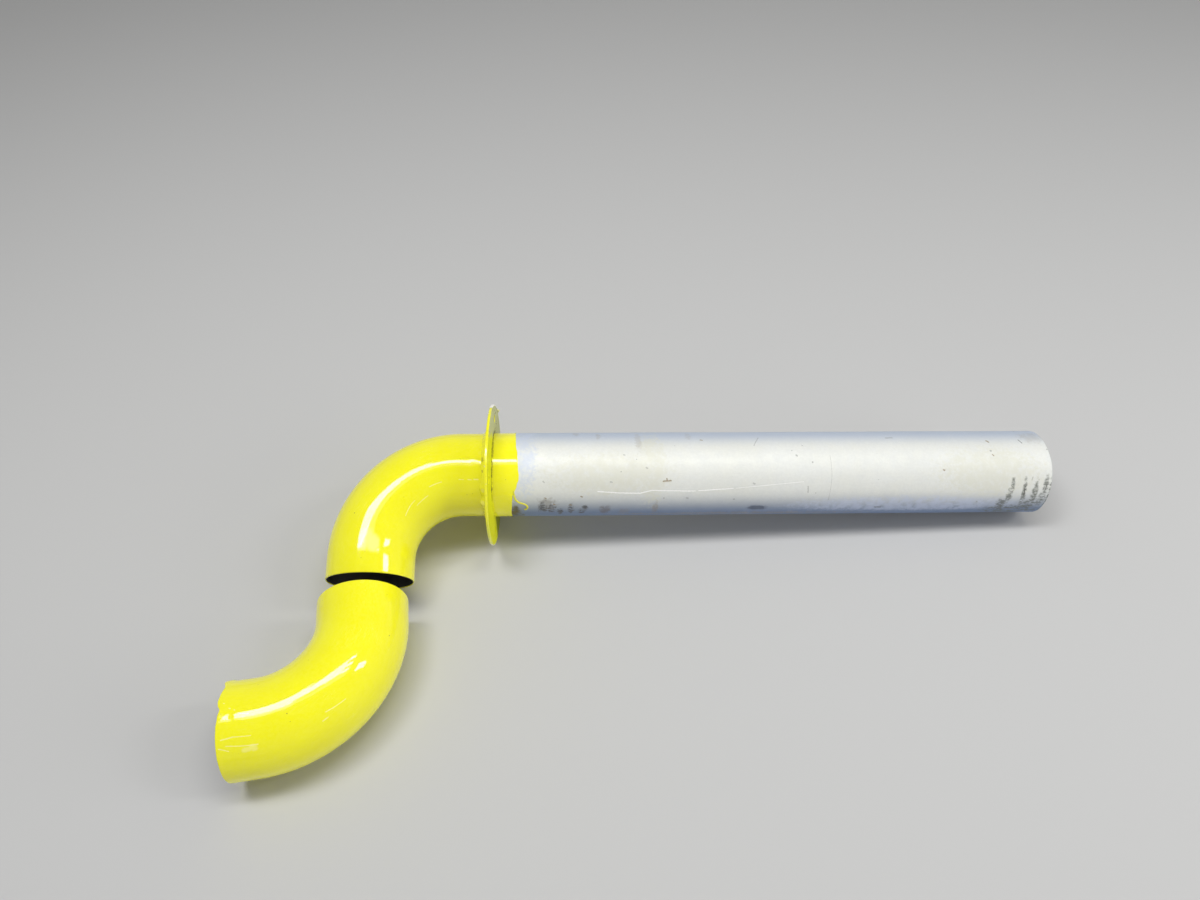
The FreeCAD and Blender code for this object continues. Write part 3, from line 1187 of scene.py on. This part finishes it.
    def edge(self, angle: np.ndarray) -> np.ndarray:
        """Where the collar's paint ends, as a length from the flange's middle.

        Args:
            angle: Angles around the tube, in radians from its upper side towards the viewer.

        Returns:
            The paint's edge at each angle.
        """
        table = [
            (-180, 12.9), (-120, 13.3), (-60, 13.9), (-37, 14.1), (-4, 14.7), (12, 15.7), (28, 16.1),
            (44, 16.6), (55, 15.3), (63, 14), (66, 13.6), (68, 12.8), (83, 12.2), (101, 11.6), (150, 12.4),
        ]
        return around_table(np.degrees(angle), table) * MM

    def _build_collar(self) -> None:
        """Paint film beside the flange, with a thick rounded edge."""
        angle = full_circle(420)
        degrees = np.degrees(angle)
        ragged = wave_noise(np.stack([angle, angle * 0, angle * 0], -1) * 0.02, 0.0016, 3.0)
        masked = smooth_step(self.masked_from, self.masked_from + 1.0, degrees)
        masked = masked * (1 - smooth_step(self.masked_to, self.masked_to + 12.0, degrees))
        ends = self.edge(angle) + self.film_unevenness * ragged * (1 - 0.85 * masked)
        lip = self.film * (1.0 + 0.9 * masked)
        rows = []
        for part in np.linspace(0, 1, 26):
            near_edge = smooth_step(0.75, 1.0, part)
            rows.append(((ends - lip) * part, self.film + (lip - self.film) * near_edge))
        for turn in np.linspace(0, math.pi / 2, 7)[1:]:
            rows.append((ends - lip + lip * math.sin(turn), lip * math.cos(turn)))
        rows.append((ends * 0, ends * 0))
        collar = ring_mesh("collar_paint", self.place.sleeve(rows, angle, 1))
        dress(collar, [GlossPaint("collar_yellow", dirt_and_shade_marks=self._collar_dirt_and_shade()).build()])

    def _collar_dirt_and_shade(self) -> tuple[Mark, ...]:
        """Broken line of dirt and painted shade where the collar's paint meets the flange.

        Returns:
            The marks, each from its two angles, its length from the flange and its width.
        """
        pieces = (
            (-21, -13, 1.15, 0.6), (-10, 3, 1.1, 0.85), (5, 15.5, 1.05, 1.05), (21.5, 27, 1.0, 0.95),
            (29, 36.5, 0.95, 0.95), (39, 43.5, 0.95, 0.65), (50, 52, 0.95, 0.6), (57, 60, 0.95, 0.7),
        )
        rows = [(along, start, along - 0.05, end, width) for start, end, along, width in pieces]
        return self.place.marks(rows)

    def _build_run(self) -> None:
        """Thin bead of paint that ran out of the collar's edge and hooked round."""
        path = [
            (13.2, 61, 0.3), (13.5, 67, 0.62), (14.1, 73.9, 0.66), (15.3, 78.2, 0.56), (17.2, 81.2, 0.5),
            (19.3, 82.6, 0.48), (20.9, 85.8, 0.52), (21.4, 90, 0.58), (20.6, 93.4, 0.54), (19.4, 94.6, 0.4),
        ]
        axes = self.place.axes
        curve = bpy.data.curves.new("paint_run_curve", "CURVE")
        curve.dimensions = "3D"
        curve.bevel_depth = 1.0
        curve.bevel_resolution = 5
        curve.use_fill_caps = True
        spline = curve.splines.new("NURBS")
        spline.points.add(len(path) - 1)
        radius = self.place.radius + 0.05 * MM
        for knot, (along, angle, width) in zip(spline.points, path):
            turn = math.radians(angle)
            local = np.array([along * MM, -radius * math.sin(turn), radius * math.cos(turn)])
            knot.co = (*axes.place(local), 1.0)
            knot.radius = width * MM
        spline.order_u = 3
        spline.use_endpoint_u = True
        spline.resolution_u = 12
        holder = add_object("paint_run_holder", curve)
        mesh = settled_mesh(holder)
        bpy.data.objects.remove(holder)
        mesh.name = "paint_run"
        piece = add_object("paint_run", mesh)
        points = np.array([vertex.co for vertex in mesh.vertices])
        local = (points - np.array(axes.origin)) @ np.array([axes.x, axes.y, axes.z]).T
        carry_vector(piece, "own_place", local)
        carry_vector(piece, "unrolled", local)
        mesh.shade_smooth()
        mesh.materials.clear()
        paint = GlossPaint("run_yellow", colour=self.run_colour, deep_colour=self.run_deep_colour)
        dress(piece, [paint.build()])


@dataclass
class MountingFlange:
    """Painted sheet flange with a worn rim, screw holes and a corner at the tube with grime and painted
    shade.
    """

    place: TubeAxes
    thickness: float = 0.0018
    rim_round: float = 0.0006
    hole_gap: float = 0.0001
    lean_back: float = 0.0240
    lean_down: float = -0.0210
    wave: float = 0.00022
    burr: float = 0.0016
    burr_angle: float = 70.0
    around: int = 288
    first_hole: float = math.radians(45.0)

    def __post_init__(self) -> None:
        """Read the rim's radius and the screw circle from the frame."""
        screws = mount("flange_screws")["dims"]
        self.screw_circle = screws["pcd_mm"] * MM / 2
        self.screw_radius = screws["hole_r_mm"] * MM
        self.screw_count = screws["count"]
        low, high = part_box("mounting_flange")
        self.rim_radius = (high.y - low.y) / 2

    def _outline(self) -> list[tuple[float, float]]:
        """Half section of the flange as offsets along the tube and radii, going round once.

        Returns:
            The offset and the radius of each ring.
        """
        half, inner = self.thickness / 2, self.place.radius + self.hole_gap
        turn = self.rim_round
        side, outer = half - turn, self.rim_radius - turn
        face = [(half, radius) for radius in np.linspace(inner, outer, 26)]
        for angle in np.linspace(0, math.pi / 2, 6)[1:]:
            face.append((side + turn * math.cos(angle), outer + turn * math.sin(angle)))
        return face + [(-along, radius) for along, radius in face[::-1]]

    def build(self) -> None:
        """Build the flange with its holes and dress it."""
        angle = full_circle(self.around)
        along, radius = (np.array(part)[:, None] + angle * 0 for part in zip(*self._outline()))
        points = np.stack([along, -radius * np.sin(angle), radius * np.cos(angle)], -1)
        plate = ring_mesh("flange_plate", Section(points, points, points, [0] * len(points)))
        self._drill(plate)
        self._warp(plate)
        finish = FlangePaint("flange_yellow", self.place.radius, self.rim_radius, self.thickness)
        dress(plate, [finish.build()])
        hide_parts("mounting_flange")

    def _drill(self, plate: bpy.types.Object) -> None:
        """Cut the screw holes with a boolean, while the plate is still in its own axes.

        Args:
            plate: The flange's plate.
        """
        drills = bmesh.new()
        for number in range(self.screw_count):
            turn = self.first_hole + number * math.tau / self.screw_count
            middle = Vector((0.0, self.screw_circle * math.cos(turn), self.screw_circle * math.sin(turn)))
            bmesh.ops.create_cone(
                drills,
                cap_ends=True,
                segments=40,
                radius1=self.screw_radius,
                radius2=self.screw_radius,
                depth=4 * self.thickness,
                matrix=Matrix.Translation(middle) @ Matrix.Rotation(math.pi / 2, 4, "Y"),
            )
        mesh = bpy.data.meshes.new("screw_hole_cutter")
        drills.to_mesh(mesh)
        drills.free()
        cutter = add_object("screw_hole_cutter", mesh)
        cut = plate.modifiers.new("screw_holes", "BOOLEAN")
        cut.operation = "DIFFERENCE"
        cut.solver = "EXACT"
        cut.object = cutter
        old, plate.data = plate.data, settled_mesh(plate)
        plate.modifiers.clear()
        bpy.data.meshes.remove(old)
        bpy.data.objects.remove(cutter)
        plate.data.shade_smooth()
        plate.data.set_sharp_from_angle(angle=math.radians(40))

    def _warp(self, plate: bpy.types.Object) -> None:
        """Bend the sheet slightly out of square, store its finish places and move it home.

        Args:
            plate: The flange's plate.
        """
        points = np.array([vertex.co for vertex in plate.data.vertices])
        for name in ("own_place", "unrolled"):
            old = plate.data.attributes.get(name)
            if old is not None:
                plate.data.attributes.remove(old)
            carry_vector(plate, name, points)
        _, y, z = points.T
        out = np.hypot(y, z)
        free = smooth_step(self.place.radius - 0.002, self.place.radius + 0.010, out)
        wave = wave_noise(points * np.array([0.0, 1.0, 1.0]), 0.030, 5.0)
        burr = bump_at(np.degrees(np.arctan2(y, z)), self.burr_angle, 2.4)
        bent = points.copy()
        bent[:, 0] += (self.lean_back * y + self.lean_down * z + self.wave * wave) * free
        bent[:, 0] += self.burr * burr * smooth_step(self.rim_radius - self.burr, self.rim_radius, out)
        placed = self.place.axes.place(bent)
        plate.data.vertices.foreach_set("co", placed.astype(np.float32).ravel())
        plate.data.update()


@dataclass(frozen=True)
class FlangePaint:
    """Yellow paint of the flange, chipped at the rim, grimy beside the tube, with painted shade and light on
    its faces.
    """

    name: str
    tube_radius: float
    rim_radius: float
    thickness: float
    colour: Colour = (0.88, 0.85, 0.012)
    # Painted shade and light: a darker face paint, and a lit copy of it for the lower front.
    painted_shade_face_colour: Colour = (0.72, 0.73, 0.012)
    painted_light_low_colour: Colour = (0.76, 0.77, 0.014)
    shade_colour: Colour = (0.17, 0.19, 0.012)
    bare_colour: Colour = (0.49, 0.50, 0.29)
    deep_colour: Colour = (0.78, 0.70, 0.01)
    metal_colour: Colour = (0.88, 0.87, 0.80)
    burr_colour: Colour = (0.92, 0.90, 0.40)
    grime_colour: Colour = (0.03, 0.022, 0.012)
    bare_side: Point = (0.0, 0.755, 0.656)
    painted_light_low_side: Point = (0.0, -0.60, -0.80)
    shaded_side: Point = (0.0, -0.990, 0.144)
    upper_side: Point = (0.0, -0.139, 0.990)
    burr_side: Point = (0.0, 0.940, 0.342)
    peel_depth: float = 0.00014

    def build(self) -> bpy.types.Material:
        """Build the material.

        Returns:
            The finished material.
        """
        surface = Surface(self.name)
        graph, place = surface.graph, surface.place
        out = graph.vector("LENGTH", graph.vector("MULTIPLY", place, (0.0, 1.0, 1.0)))
        tube_side = graph.ramp(graph.split(place)[0], self.thickness * 0.42, self.thickness * 0.49)
        fray = graph.minus(graph.noise(place, 330.0, 4.0, 0.65), 0.5)
        away = graph.dot(place, self.bare_side)
        thin_paint = graph.times(tube_side, graph.ramp(graph.raised(away, fray, 0.010), 0.022, 0.026))
        clouds = surface.mottle(60.0)
        colour = graph.tint(clouds, 0.25, self.colour, self.deep_colour)
        # Painted shade: the face towards the bare tube gets a darker olive copy of the paint.
        colour = graph.tint(tube_side, 0.9, colour, self.painted_shade_face_colour)
        # Painted light: the lower front part gets a copy of the paint lit more brightly than the shaded
        # face.
        low = graph.ramp(graph.dot(place, self.painted_light_low_side), 0.014, 0.026)
        colour = graph.blend(low, colour, self.painted_light_low_colour)
        shade = graph.ramp(graph.dot(place, self.shaded_side), 0.0115, 0.0155, 0.85, 0.0)
        shade = graph.times(shade, tube_side)
        colour = graph.tint(shade, graph.ramp(away, -0.018, -0.010, 1.0, 0.0), colour, self.shade_colour)
        colour = graph.tint(thin_paint, 0.9, colour, self.bare_colour)
        corner_grime_and_shade = self._corner_grime_and_shade(surface, graph.raised(out, fray, 0.0035), tube_side)
        # The corner ring is grime with painted shade of the crevice; the specks are dirt.
        dark = graph.strongest([graph.times(self._specks(surface, thin_paint), 0.85), corner_grime_and_shade])
        colour = graph.blend(dark, colour, self.grime_colour)
        rim = graph.ramp(out, self.rim_radius - 0.0012, self.rim_radius - 0.0003)
        top = graph.ramp(away, self.rim_radius - 0.0040, self.rim_radius - 0.0014)
        foot = graph.ramp(away, 0.0012 - self.rim_radius, 0.0004 - self.rim_radius)
        worn = graph.ramp(graph.noise(place, 260.0, 4.0, 0.7), 0.60, 0.68)
        chipped = graph.times(rim, graph.strongest([graph.times(worn, 0.9), top, foot]))
        chipped = graph.ramp(graph.raised(chipped, fray, 0.5), 0.45, 0.62)
        colour = graph.blend(chipped, colour, self.metal_colour)
        raised = graph.dot(place, self.burr_side)
        burr = graph.ramp(raised, self.rim_radius - 0.0010, self.rim_radius - 0.0005)
        colour = graph.blend(burr, colour, self.burr_colour)
        rough = graph.raised(graph.raised(0.16, clouds, 0.1), thin_paint, 0.3)
        dull = graph.times(tube_side, 0.95)
        rough = graph.strongest([graph.raised(rough, dark, 0.3), graph.times(dull, 0.55)])
        surface.set(
            Base_Color=colour,
            Roughness=rough,
            Specular_IOR_Level=graph.raised(0.5, dull, -0.42),
            Coat_Weight=graph.minus(1.0, graph.strongest([chipped, thin_paint, dull])),
            Coat_Roughness=0.06,
        )
        peel = surface.effect(EFFECTS.peel, Fine=0.5, Broad=1.2)
        surface.bump(graph.minus(peel, chipped), self.peel_depth)
        return surface.material

    @staticmethod
    def _specks(surface: Surface, thin_paint: Socket) -> Socket:
        """Specks of dirt, thick where the paint is thin and few elsewhere."""
        specks = surface.effect(EFFECTS.specks, Scale=430.0, Amount=0.90)
        return surface.graph.times(specks, surface.graph.ramp(thin_paint, 0.0, 1.0, 0.10, 1.0))

    def _corner_grime_and_shade(self, surface: Surface, frayed_out: Socket, tube_side: Socket) -> Socket:
        """Broken ring of grime and painted shade in the corner between the flange and the tube.

        Args:
            surface: The material being built.
            frayed_out: Distance from the tube's axis with an uneven part.
            tube_side: Mask of the face towards the bare tube.

        Returns:
            The mask.
        """
        graph, place = surface.graph, surface.place
        near, beyond = self.tube_radius + 0.0010, self.tube_radius + 0.0028
        corner_grime_and_shade = graph.times(graph.ramp(frayed_out, near, beyond, 1.0, 0.0), tube_side)
        gaps = graph.ramp(graph.noise(place, 480.0, 3.0, 0.7), 0.40, 0.56)
        upper = graph.ramp(graph.dot(place, self.upper_side), 0.006, 0.019, 0.12, 1.0)
        return graph.times(corner_grime_and_shade, graph.times(gaps, upper))


@dataclass
class FlangeWeld:
    """Lumpy painted weld bead in the corner between the flange and the upper bend."""

    place: TubeAxes
    back_face: float = -0.0009
    reach: float = 0.0052
    rise: float = 0.0024
    ripple: float = 0.00012
    lump: float = 0.00020
    front_lump: float = 0.00035
    sunk: float = 0.0001
    around: int = 420
    across: int = 16

    def build(self) -> None:
        """Build the bead with its ripples and lumps."""
        angle = full_circle(self.around)
        lumps = wave_noise(np.stack([np.cos(angle), np.sin(angle), angle * 0], -1) * 0.03, 0.011, 8.0)
        ripples = np.sin(angle * 46 + 1.6 * lumps)
        degrees = np.degrees(angle)
        front_lump = bump_at(degrees, 58.0, 8.0) + 0.8 * bump_at(degrees, 79.0, 7.0)
        reach = self.reach * (0.84 + 0.07 * lumps) + 0.0014 * front_lump
        rise = self.rise * (0.80 + 0.10 * lumps) + 0.0005 * front_lump
        unevenness = self.ripple * ripples + self.lump * lumps + self.front_lump * front_lump
        rows = []
        for part in np.linspace(0, 1, self.across):
            swing = part * math.pi / 2
            up = rise * np.sin(swing) * (0.72 + 0.28 * part)
            rows.append((self.back_face - reach * np.cos(swing), up + math.sin(math.pi * part) * unevenness))
        rows += [(rows[end][0], angle * 0 - self.sunk) for end in (-1, 0)]
        bead = ring_mesh("weld_bead", self.place.sleeve(rows, angle, -1))
        toe = self.back_face - self.reach * 0.74

        def speck(turn: float, size: float) -> Mark:
            """Short dark pit at the bead's toe."""
            around = self.place.radius * math.radians(turn)
            return Mark((toe, around - size), (toe + 0.0003, around + size), size)

        finish = GlossPaint(
            "weld_yellow",
            dirt_and_shade_marks=(speck(20.0, 0.00090), speck(35.0, 0.00055)),
            # Pale patches on the two front lumps are painted highlights where the lumps catch the light.
            scuffs_and_highlights=self.place.patches(((-4.4, 59.5, 1.5, 1.5, 0.6), (-4.6, 77.0, 1.9, 1.9, 0.6))),
        )
        dress(bead, [finish.build()])
        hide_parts("flange_weld")


@dataclass
class Elbow:
    """Painted short-radius bend with a near-black inside that is painted shade."""

    name: str
    node: str
    place: TubeAxes
    axes: Axes
    side: Bend
    paint: GlossPaint
    swell: Unevenness
    end_shift: Unevenness | None = None
    straight: float = 0.0133
    bend_radius: float = 0.052
    # Near-black inside colours: painted shade of the bend's inside.
    inside_colour: Colour = (0.055, 0.055, 0.048)
    inside_dark_patch_colour: Colour = (0.022, 0.021, 0.018)

    def build(self) -> None:
        """Build the bend and dress it."""
        pipe = Pipe(
            radius=self.place.radius,
            wall=self.place.wall,
            length=2 * self.straight + self.bend_radius * math.pi / 2,
            straight=self.straight,
            bend_radius=self.bend_radius,
            seat_up=self.side,
            swell=self.swell,
            end_shift=self.end_shift,
        )
        bend = ring_mesh(self.name, pipe.section(self.axes))
        inside = DuctInside(f"{self.name}_inside", self.inside_colour, self.inside_dark_patch_colour, 0.0)
        dress(bend, [self.paint.build(), inside.build()])
        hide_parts(self.node)


@dataclass
class Bends:
    """The two bends: the upper one on the tube, and the loose lower one."""

    place: TubeAxes
    joint: float = 0.0049
    arm: float = Elbow.bend_radius + Elbow.straight
    outlet_inset: float = 0.006
    roll_tolerance: float = 1e-9
    wave: float = 0.00007
    weld_lumps: float = 0.00010
    mouth_slope: float = 0.050
    end_ripple: float = 0.000016
    end_lip: float = 0.00040

    def _resting_roll(self) -> float:
        """Roll of the upper bend that brings its mouth's lowest point down to the bench.

        Returns:
            The roll in radians.
        """
        low, high = 0.0, math.pi / 3
        while high - low > self.roll_tolerance:
            middle = (low + high) / 2
            axes = self.place.axes.rolled(middle, -self.joint)
            centre = axes.origin - (axes.x + axes.y) * self.arm
            if centre.z - self.place.radius * math.sqrt(1 - axes.y.z**2) > 0:
                low = middle
            else:
                high = middle
        return low

    def _lower_axes(self) -> Axes:
        """Where the loose bend lies, from its outer end as the frame gives it.

        Returns:
            The bend's axes.
        """
        outlet = mount("outlet_outside")
        heading = Vector(outlet["axis"]).normalized()
        end = Vector(outlet["pos_m"]) + heading * self.outlet_inset
        y = -heading
        z = Vector((0.0, 0.0, -1.0))
        x = y.cross(z)
        return Axes(end + (x + y) * self.arm, x, y, z)

    def _upper_swell(self, along: np.ndarray, angle: np.ndarray) -> np.ndarray:
        """Unevenness of the upper bend: broad waves, lumps beside the weld and a slope at the mouth.

        Args:
            along: Lengths from the first mouth, in metres.
            angle: Angles around, in radians.

        Returns:
            Change of the radius at each point.
        """
        broad = self.wave * np.sin(along * 92.0 + 1.0) * np.sin(2.0 * angle + along * 30.0)
        fade = np.exp(-np.maximum(along - 0.003, 0) / 0.0035)
        lumps = self.weld_lumps * np.sin(angle * 13.0 + along * 700.0) * np.sin(angle * 7.0 + 0.6)
        after_bend = np.maximum(along - 0.0955 - 0.004 * np.clip(np.sin(angle), -0.2, 0.6), 0.0)
        slope = self.mouth_slope * np.minimum(after_bend, 0.0122) * np.maximum(np.cos(angle), 0.0) ** 2
        return broad + fade * lumps - slope

    def _lower_swell(self, along: np.ndarray, angle: np.ndarray) -> np.ndarray:
        """Unevenness of the lower bend: broad waves and thick lumps near its outer end.

        Args:
            along: Lengths from the first mouth, in metres.
            angle: Angles around, in radians.

        Returns:
            Change of the radius at each point.
        """
        degrees = np.degrees(angle)
        broad = self.wave * np.sin(along * 84.0 + 2.1) * np.sin(2.0 * angle - along * 26.0)
        near_end = smooth_step(0.088, 0.100, along)
        ripple = np.sin(along * 1300.0 + 2.0 * np.sin(angle * 7.0)) * np.sin(angle * 21.0 + along * 300.0)
        spread = bump_at(degrees, -8.0, 12.0) + 0.5 * bump_at(degrees, 32.0, 12.0)
        lumps = self.end_ripple * near_end * ripple * spread
        lumps = lumps + self.wave * bump_at(along, 0.0982, 0.0016) * bump_at(degrees, -11.5, 4.0)
        lip = self.end_lip * smooth_step(0.1030, 0.1060, along) * bump_at(degrees, 58.0, 16.0)
        return broad + lumps + lip

    @staticmethod
    def _lower_end(along: np.ndarray, angle: np.ndarray) -> np.ndarray:
        """Uneven cut of the lower bend's outer end, with a nick in its upper side.

        Args:
            along: Lengths from the first mouth, in metres.
            angle: Angles around, in radians.

        Returns:
            Shift of each point along the bend.
        """
        table = [
            (-180, 0.5), (-130, 0.8), (-88, 0.75), (-55, 0.3), (-43, 0.05), (-32, -0.2), (-22, -0.5),
            (-9, -1.2), (0.5, -2.05), (4, -1.0), (10, -0.55), (20, -0.9), (33, -1.6), (50, 0.35),
            (75, 0.5), (120, 0.3),
        ]
        near_end = smooth_step(0.094, 0.1075, along)
        return near_end * around_table(np.degrees(angle), table) * MM

    def build(self) -> None:
        """Build both bends."""
        upper_scratches = (
            (26.1, 25.5, 30.5, 25.9, 0.36), (30.5, 25.9, 35.5, 26.5, 0.46), (39.4, 36.4, 51.3, 39.4, 0.36),
            (50.0, 32.2, 55.3, 33.6, 0.32), (55.3, 33.6, 63.8, 37.8, 0.42), (2.2, 25.1, 4.5, 25.0, 0.58),
            (6.1, 25.4, 8.0, 25.2, 0.42), (10.6, 25.2, 13.5, 24.7, 0.28),
        )
        lower_scratches = (
            (56.1, -48.5, 60.5, -46.8, 0.36), (60.5, -46.8, 64.1, -45.1, 0.44),
            (64.6, -51.6, 66.7, -51.8, 0.44), (91.8, -33.7, 99.7, -32.4, 0.36),
            (99.7, -32.4, 105.2, -34.0, 0.52), (89.9, -44.9, 95.1, -43.6, 0.48),
            (95.1, -43.6, 103.2, -41.1, 0.40), (102.2, -47.3, 106.7, -43.1, 0.42),
            (100.9, -0.8, 101.5, -0.2, 0.50), (98.5, -3.4, 98.9, -3.0, 0.45),
            (104.1, 6.6, 104.5, 7.0, 0.40), (92.0, -10.0, 97.0, -7.0, 0.36),
        )
        # Pale patches near the upper bend's mouth are painted reflection of a pale overhead panel.
        upper_painted_reflection = ((88.6, 2.5, 8.0, 5.6, 0.4), (91.0, 12.5, 7.4, 4.4, 0.4))
        lower_scuffs = ((91.6, -47.6, 2.0, 2.4, 0.8), (94.0, -48.6, 2.8, 1.8, 0.8))
        place = self.place
        upper = Elbow(
            name="upper_elbow_shell",
            node="upper_elbow",
            place=place,
            axes=place.axes.rolled(self._resting_roll(), -self.joint),
            side=Bend.FACE_UP,
            paint=GlossPaint(
                "upper_yellow", scratches=place.marks(upper_scratches), scuffs_and_highlights=place.patches(upper_painted_reflection)
            ),
            swell=self._upper_swell,
        )
        lower = Elbow(
            name="lower_elbow_shell",
            node="lower_elbow",
            place=place,
            axes=self._lower_axes(),
            side=Bend.FACE_DOWN,
            paint=GlossPaint(
                "lower_yellow", scratches=place.marks(lower_scratches), scuffs_and_highlights=place.patches(lower_scuffs)
            ),
            swell=self._lower_swell,
            end_shift=self._lower_end,
        )
        upper.build()
        lower.build()


@dataclass(frozen=True)
class Lamp:
    """Flat lamp placed from the flange's middle, level over the bench or aimed at the flange.

    An aimed lamp only fills the shade, so it leaves no glint of its own.
    """

    name: str
    offset: Point
    size: tuple[float, float]
    radiance: float
    aimed: bool = False

    def build(self, middle: Vector) -> None:
        """Build the lamp.

        Args:
            middle: The flange's middle.
        """
        data = bpy.data.lights.new(self.name, "AREA")
        data.shape = "RECTANGLE"
        data.size, data.size_y = self.size
        data.energy = self.radiance * math.pi * self.size[0] * self.size[1]
        holder = add_object(self.name, data)
        holder.location = (middle.x + self.offset[0], middle.y + self.offset[1], self.offset[2])
        if self.aimed:
            holder.rotation_euler = (middle - holder.location).to_track_quat("-Z", "Y").to_euler()
            holder.visible_glossy = False


@dataclass
class Studio:
    """Pale floor, overhead strip lights, even surround and the camera."""

    place: TubeAxes
    floor_size: float = 8.0
    floor_colour: Colour = (0.52, 0.52, 0.515)
    bounce_colour: Colour = (0.72, 0.72, 0.72)
    world_top: float = 0.15
    world_side: float = 0.52
    lamps: tuple[Lamp, ...] = (
        Lamp("left_strip", (-0.365, -0.044, 1.20), (0.39, 0.262), 14.8),
        Lamp("middle_strip", (-0.035, -0.045, 1.20), (0.27, 0.150), 15.4),
        Lamp("right_strip", (0.250, -0.055, 1.20), (0.300, 0.180), 14.0),
        Lamp("right_line_near", (0.500, -0.140, 1.20), (0.230, 0.038), 18.0),
        Lamp("right_line_middle", (0.514, -0.054, 1.20), (0.236, 0.040), 18.0),
        Lamp("right_line_far", (0.520, 0.036, 1.20), (0.236, 0.040), 18.0),
        Lamp("far_strip", (1.34, -0.2125, 1.20), (0.66, 0.165), 16.0),
        Lamp("pale_panel", (-0.34, -0.2225, 1.21), (0.45, 0.135), 4.2),
        Lamp("side_panel", (0.27, -0.2150, 1.21), (0.74, 0.090), 2.0),
        Lamp("soft_fill", (1.12, -0.40, 0.38), (0.80, 0.60), 2.3, aimed=True),
    )
    camera_offset: Point = (0.06296, -0.34449, 0.45877)
    camera_pitch: float = 49.030
    camera_roll: float = -1.937
    camera_yaw: float = -0.437
    lens: float = 26.459
    sensor_width: float = 36.0
    nearest_seen: float = 0.01

    def build(self) -> None:
        """Build the surroundings."""
        self._build_floor()
        self._build_world()
        for lamp in self.lamps:
            lamp.build(self.place.axes.origin)
        self._build_camera()

    def _build_floor(self) -> None:
        """Plain pale floor at the height of the bench."""
        half = self.floor_size / 2
        corners = np.array([(-half, -half, 0), (half, -half, 0), (half, half, 0), (-half, half, 0)])
        floor = new_object("floor", corners, [(0, 1, 2, 3)])
        surface = Surface("pale_floor")
        graph = surface.graph
        path = graph.node("ShaderNodeLightPath")
        kinds = ("Camera", "Glossy", "Transmission")
        seen = graph.strongest([path.outputs[f"Is {kind} Ray"] for kind in kinds])
        surface.set(Base_Color=graph.blend(seen, self.bounce_colour, self.floor_colour), Roughness=0.85)
        floor.data.materials.append(surface.material)

    def _build_world(self) -> None:
        """Pale light from all round, stronger from the sides."""
        world = bpy.data.worlds.new("surround")
        world.use_nodes = True
        graph = Graph(world.node_tree)
        background = world.node_tree.nodes["Background"]
        up = graph.split(graph.node("ShaderNodeTexCoord").outputs["Generated"])[2]
        graph.feed(background.inputs["Color"], (1.0, 1.0, 1.0, 1.0))
        level = graph.ramp(up, 0.0, 1.0, self.world_side, self.world_top)
        graph.feed(background.inputs["Strength"], level)
        bpy.context.scene.world = world

    def _build_camera(self) -> None:
        """Camera at the photograph's viewing angle."""
        pitch, roll, yaw = (math.radians(v) for v in (self.camera_pitch, self.camera_roll, self.camera_yaw))
        forward = Vector((0.0, math.cos(pitch), -math.sin(pitch)))
        right = Vector((1.0, 0.0, 0.0))
        upward = right.cross(forward)
        rolled_right = right * math.cos(roll) + upward * math.sin(roll)
        rolled_up = upward * math.cos(roll) - right * math.sin(roll)
        turn = Matrix((rolled_right, rolled_up, -forward)).transposed()
        turn = Matrix.Rotation(yaw, 3, "Z") @ turn
        data = bpy.data.cameras.new("camera")
        data.lens = self.lens
        data.sensor_width = self.sensor_width
        data.clip_start = self.nearest_seen
        camera = add_object("camera", data)
        under_flange = Vector((*self.place.axes.origin.xy, 0.0))
        camera.matrix_world = Matrix.Translation(under_flange + Vector(self.camera_offset)) @ turn.to_4x4()
        bpy.context.scene.camera = camera


def main() -> None:
    """Build every sub-assembly and the studio."""
    logging.basicConfig(level=logging.INFO, format="%(message)s")
    place = TubeAxes()
    StraightTube(place).build()
    MountingFlange(place).build()
    FlangeWeld(place).build()
    Bends(place).build()
    Studio(place).build()
    bpy.context.scene.view_settings.view_transform = "Standard"


if __name__ == "__main__":
    main()
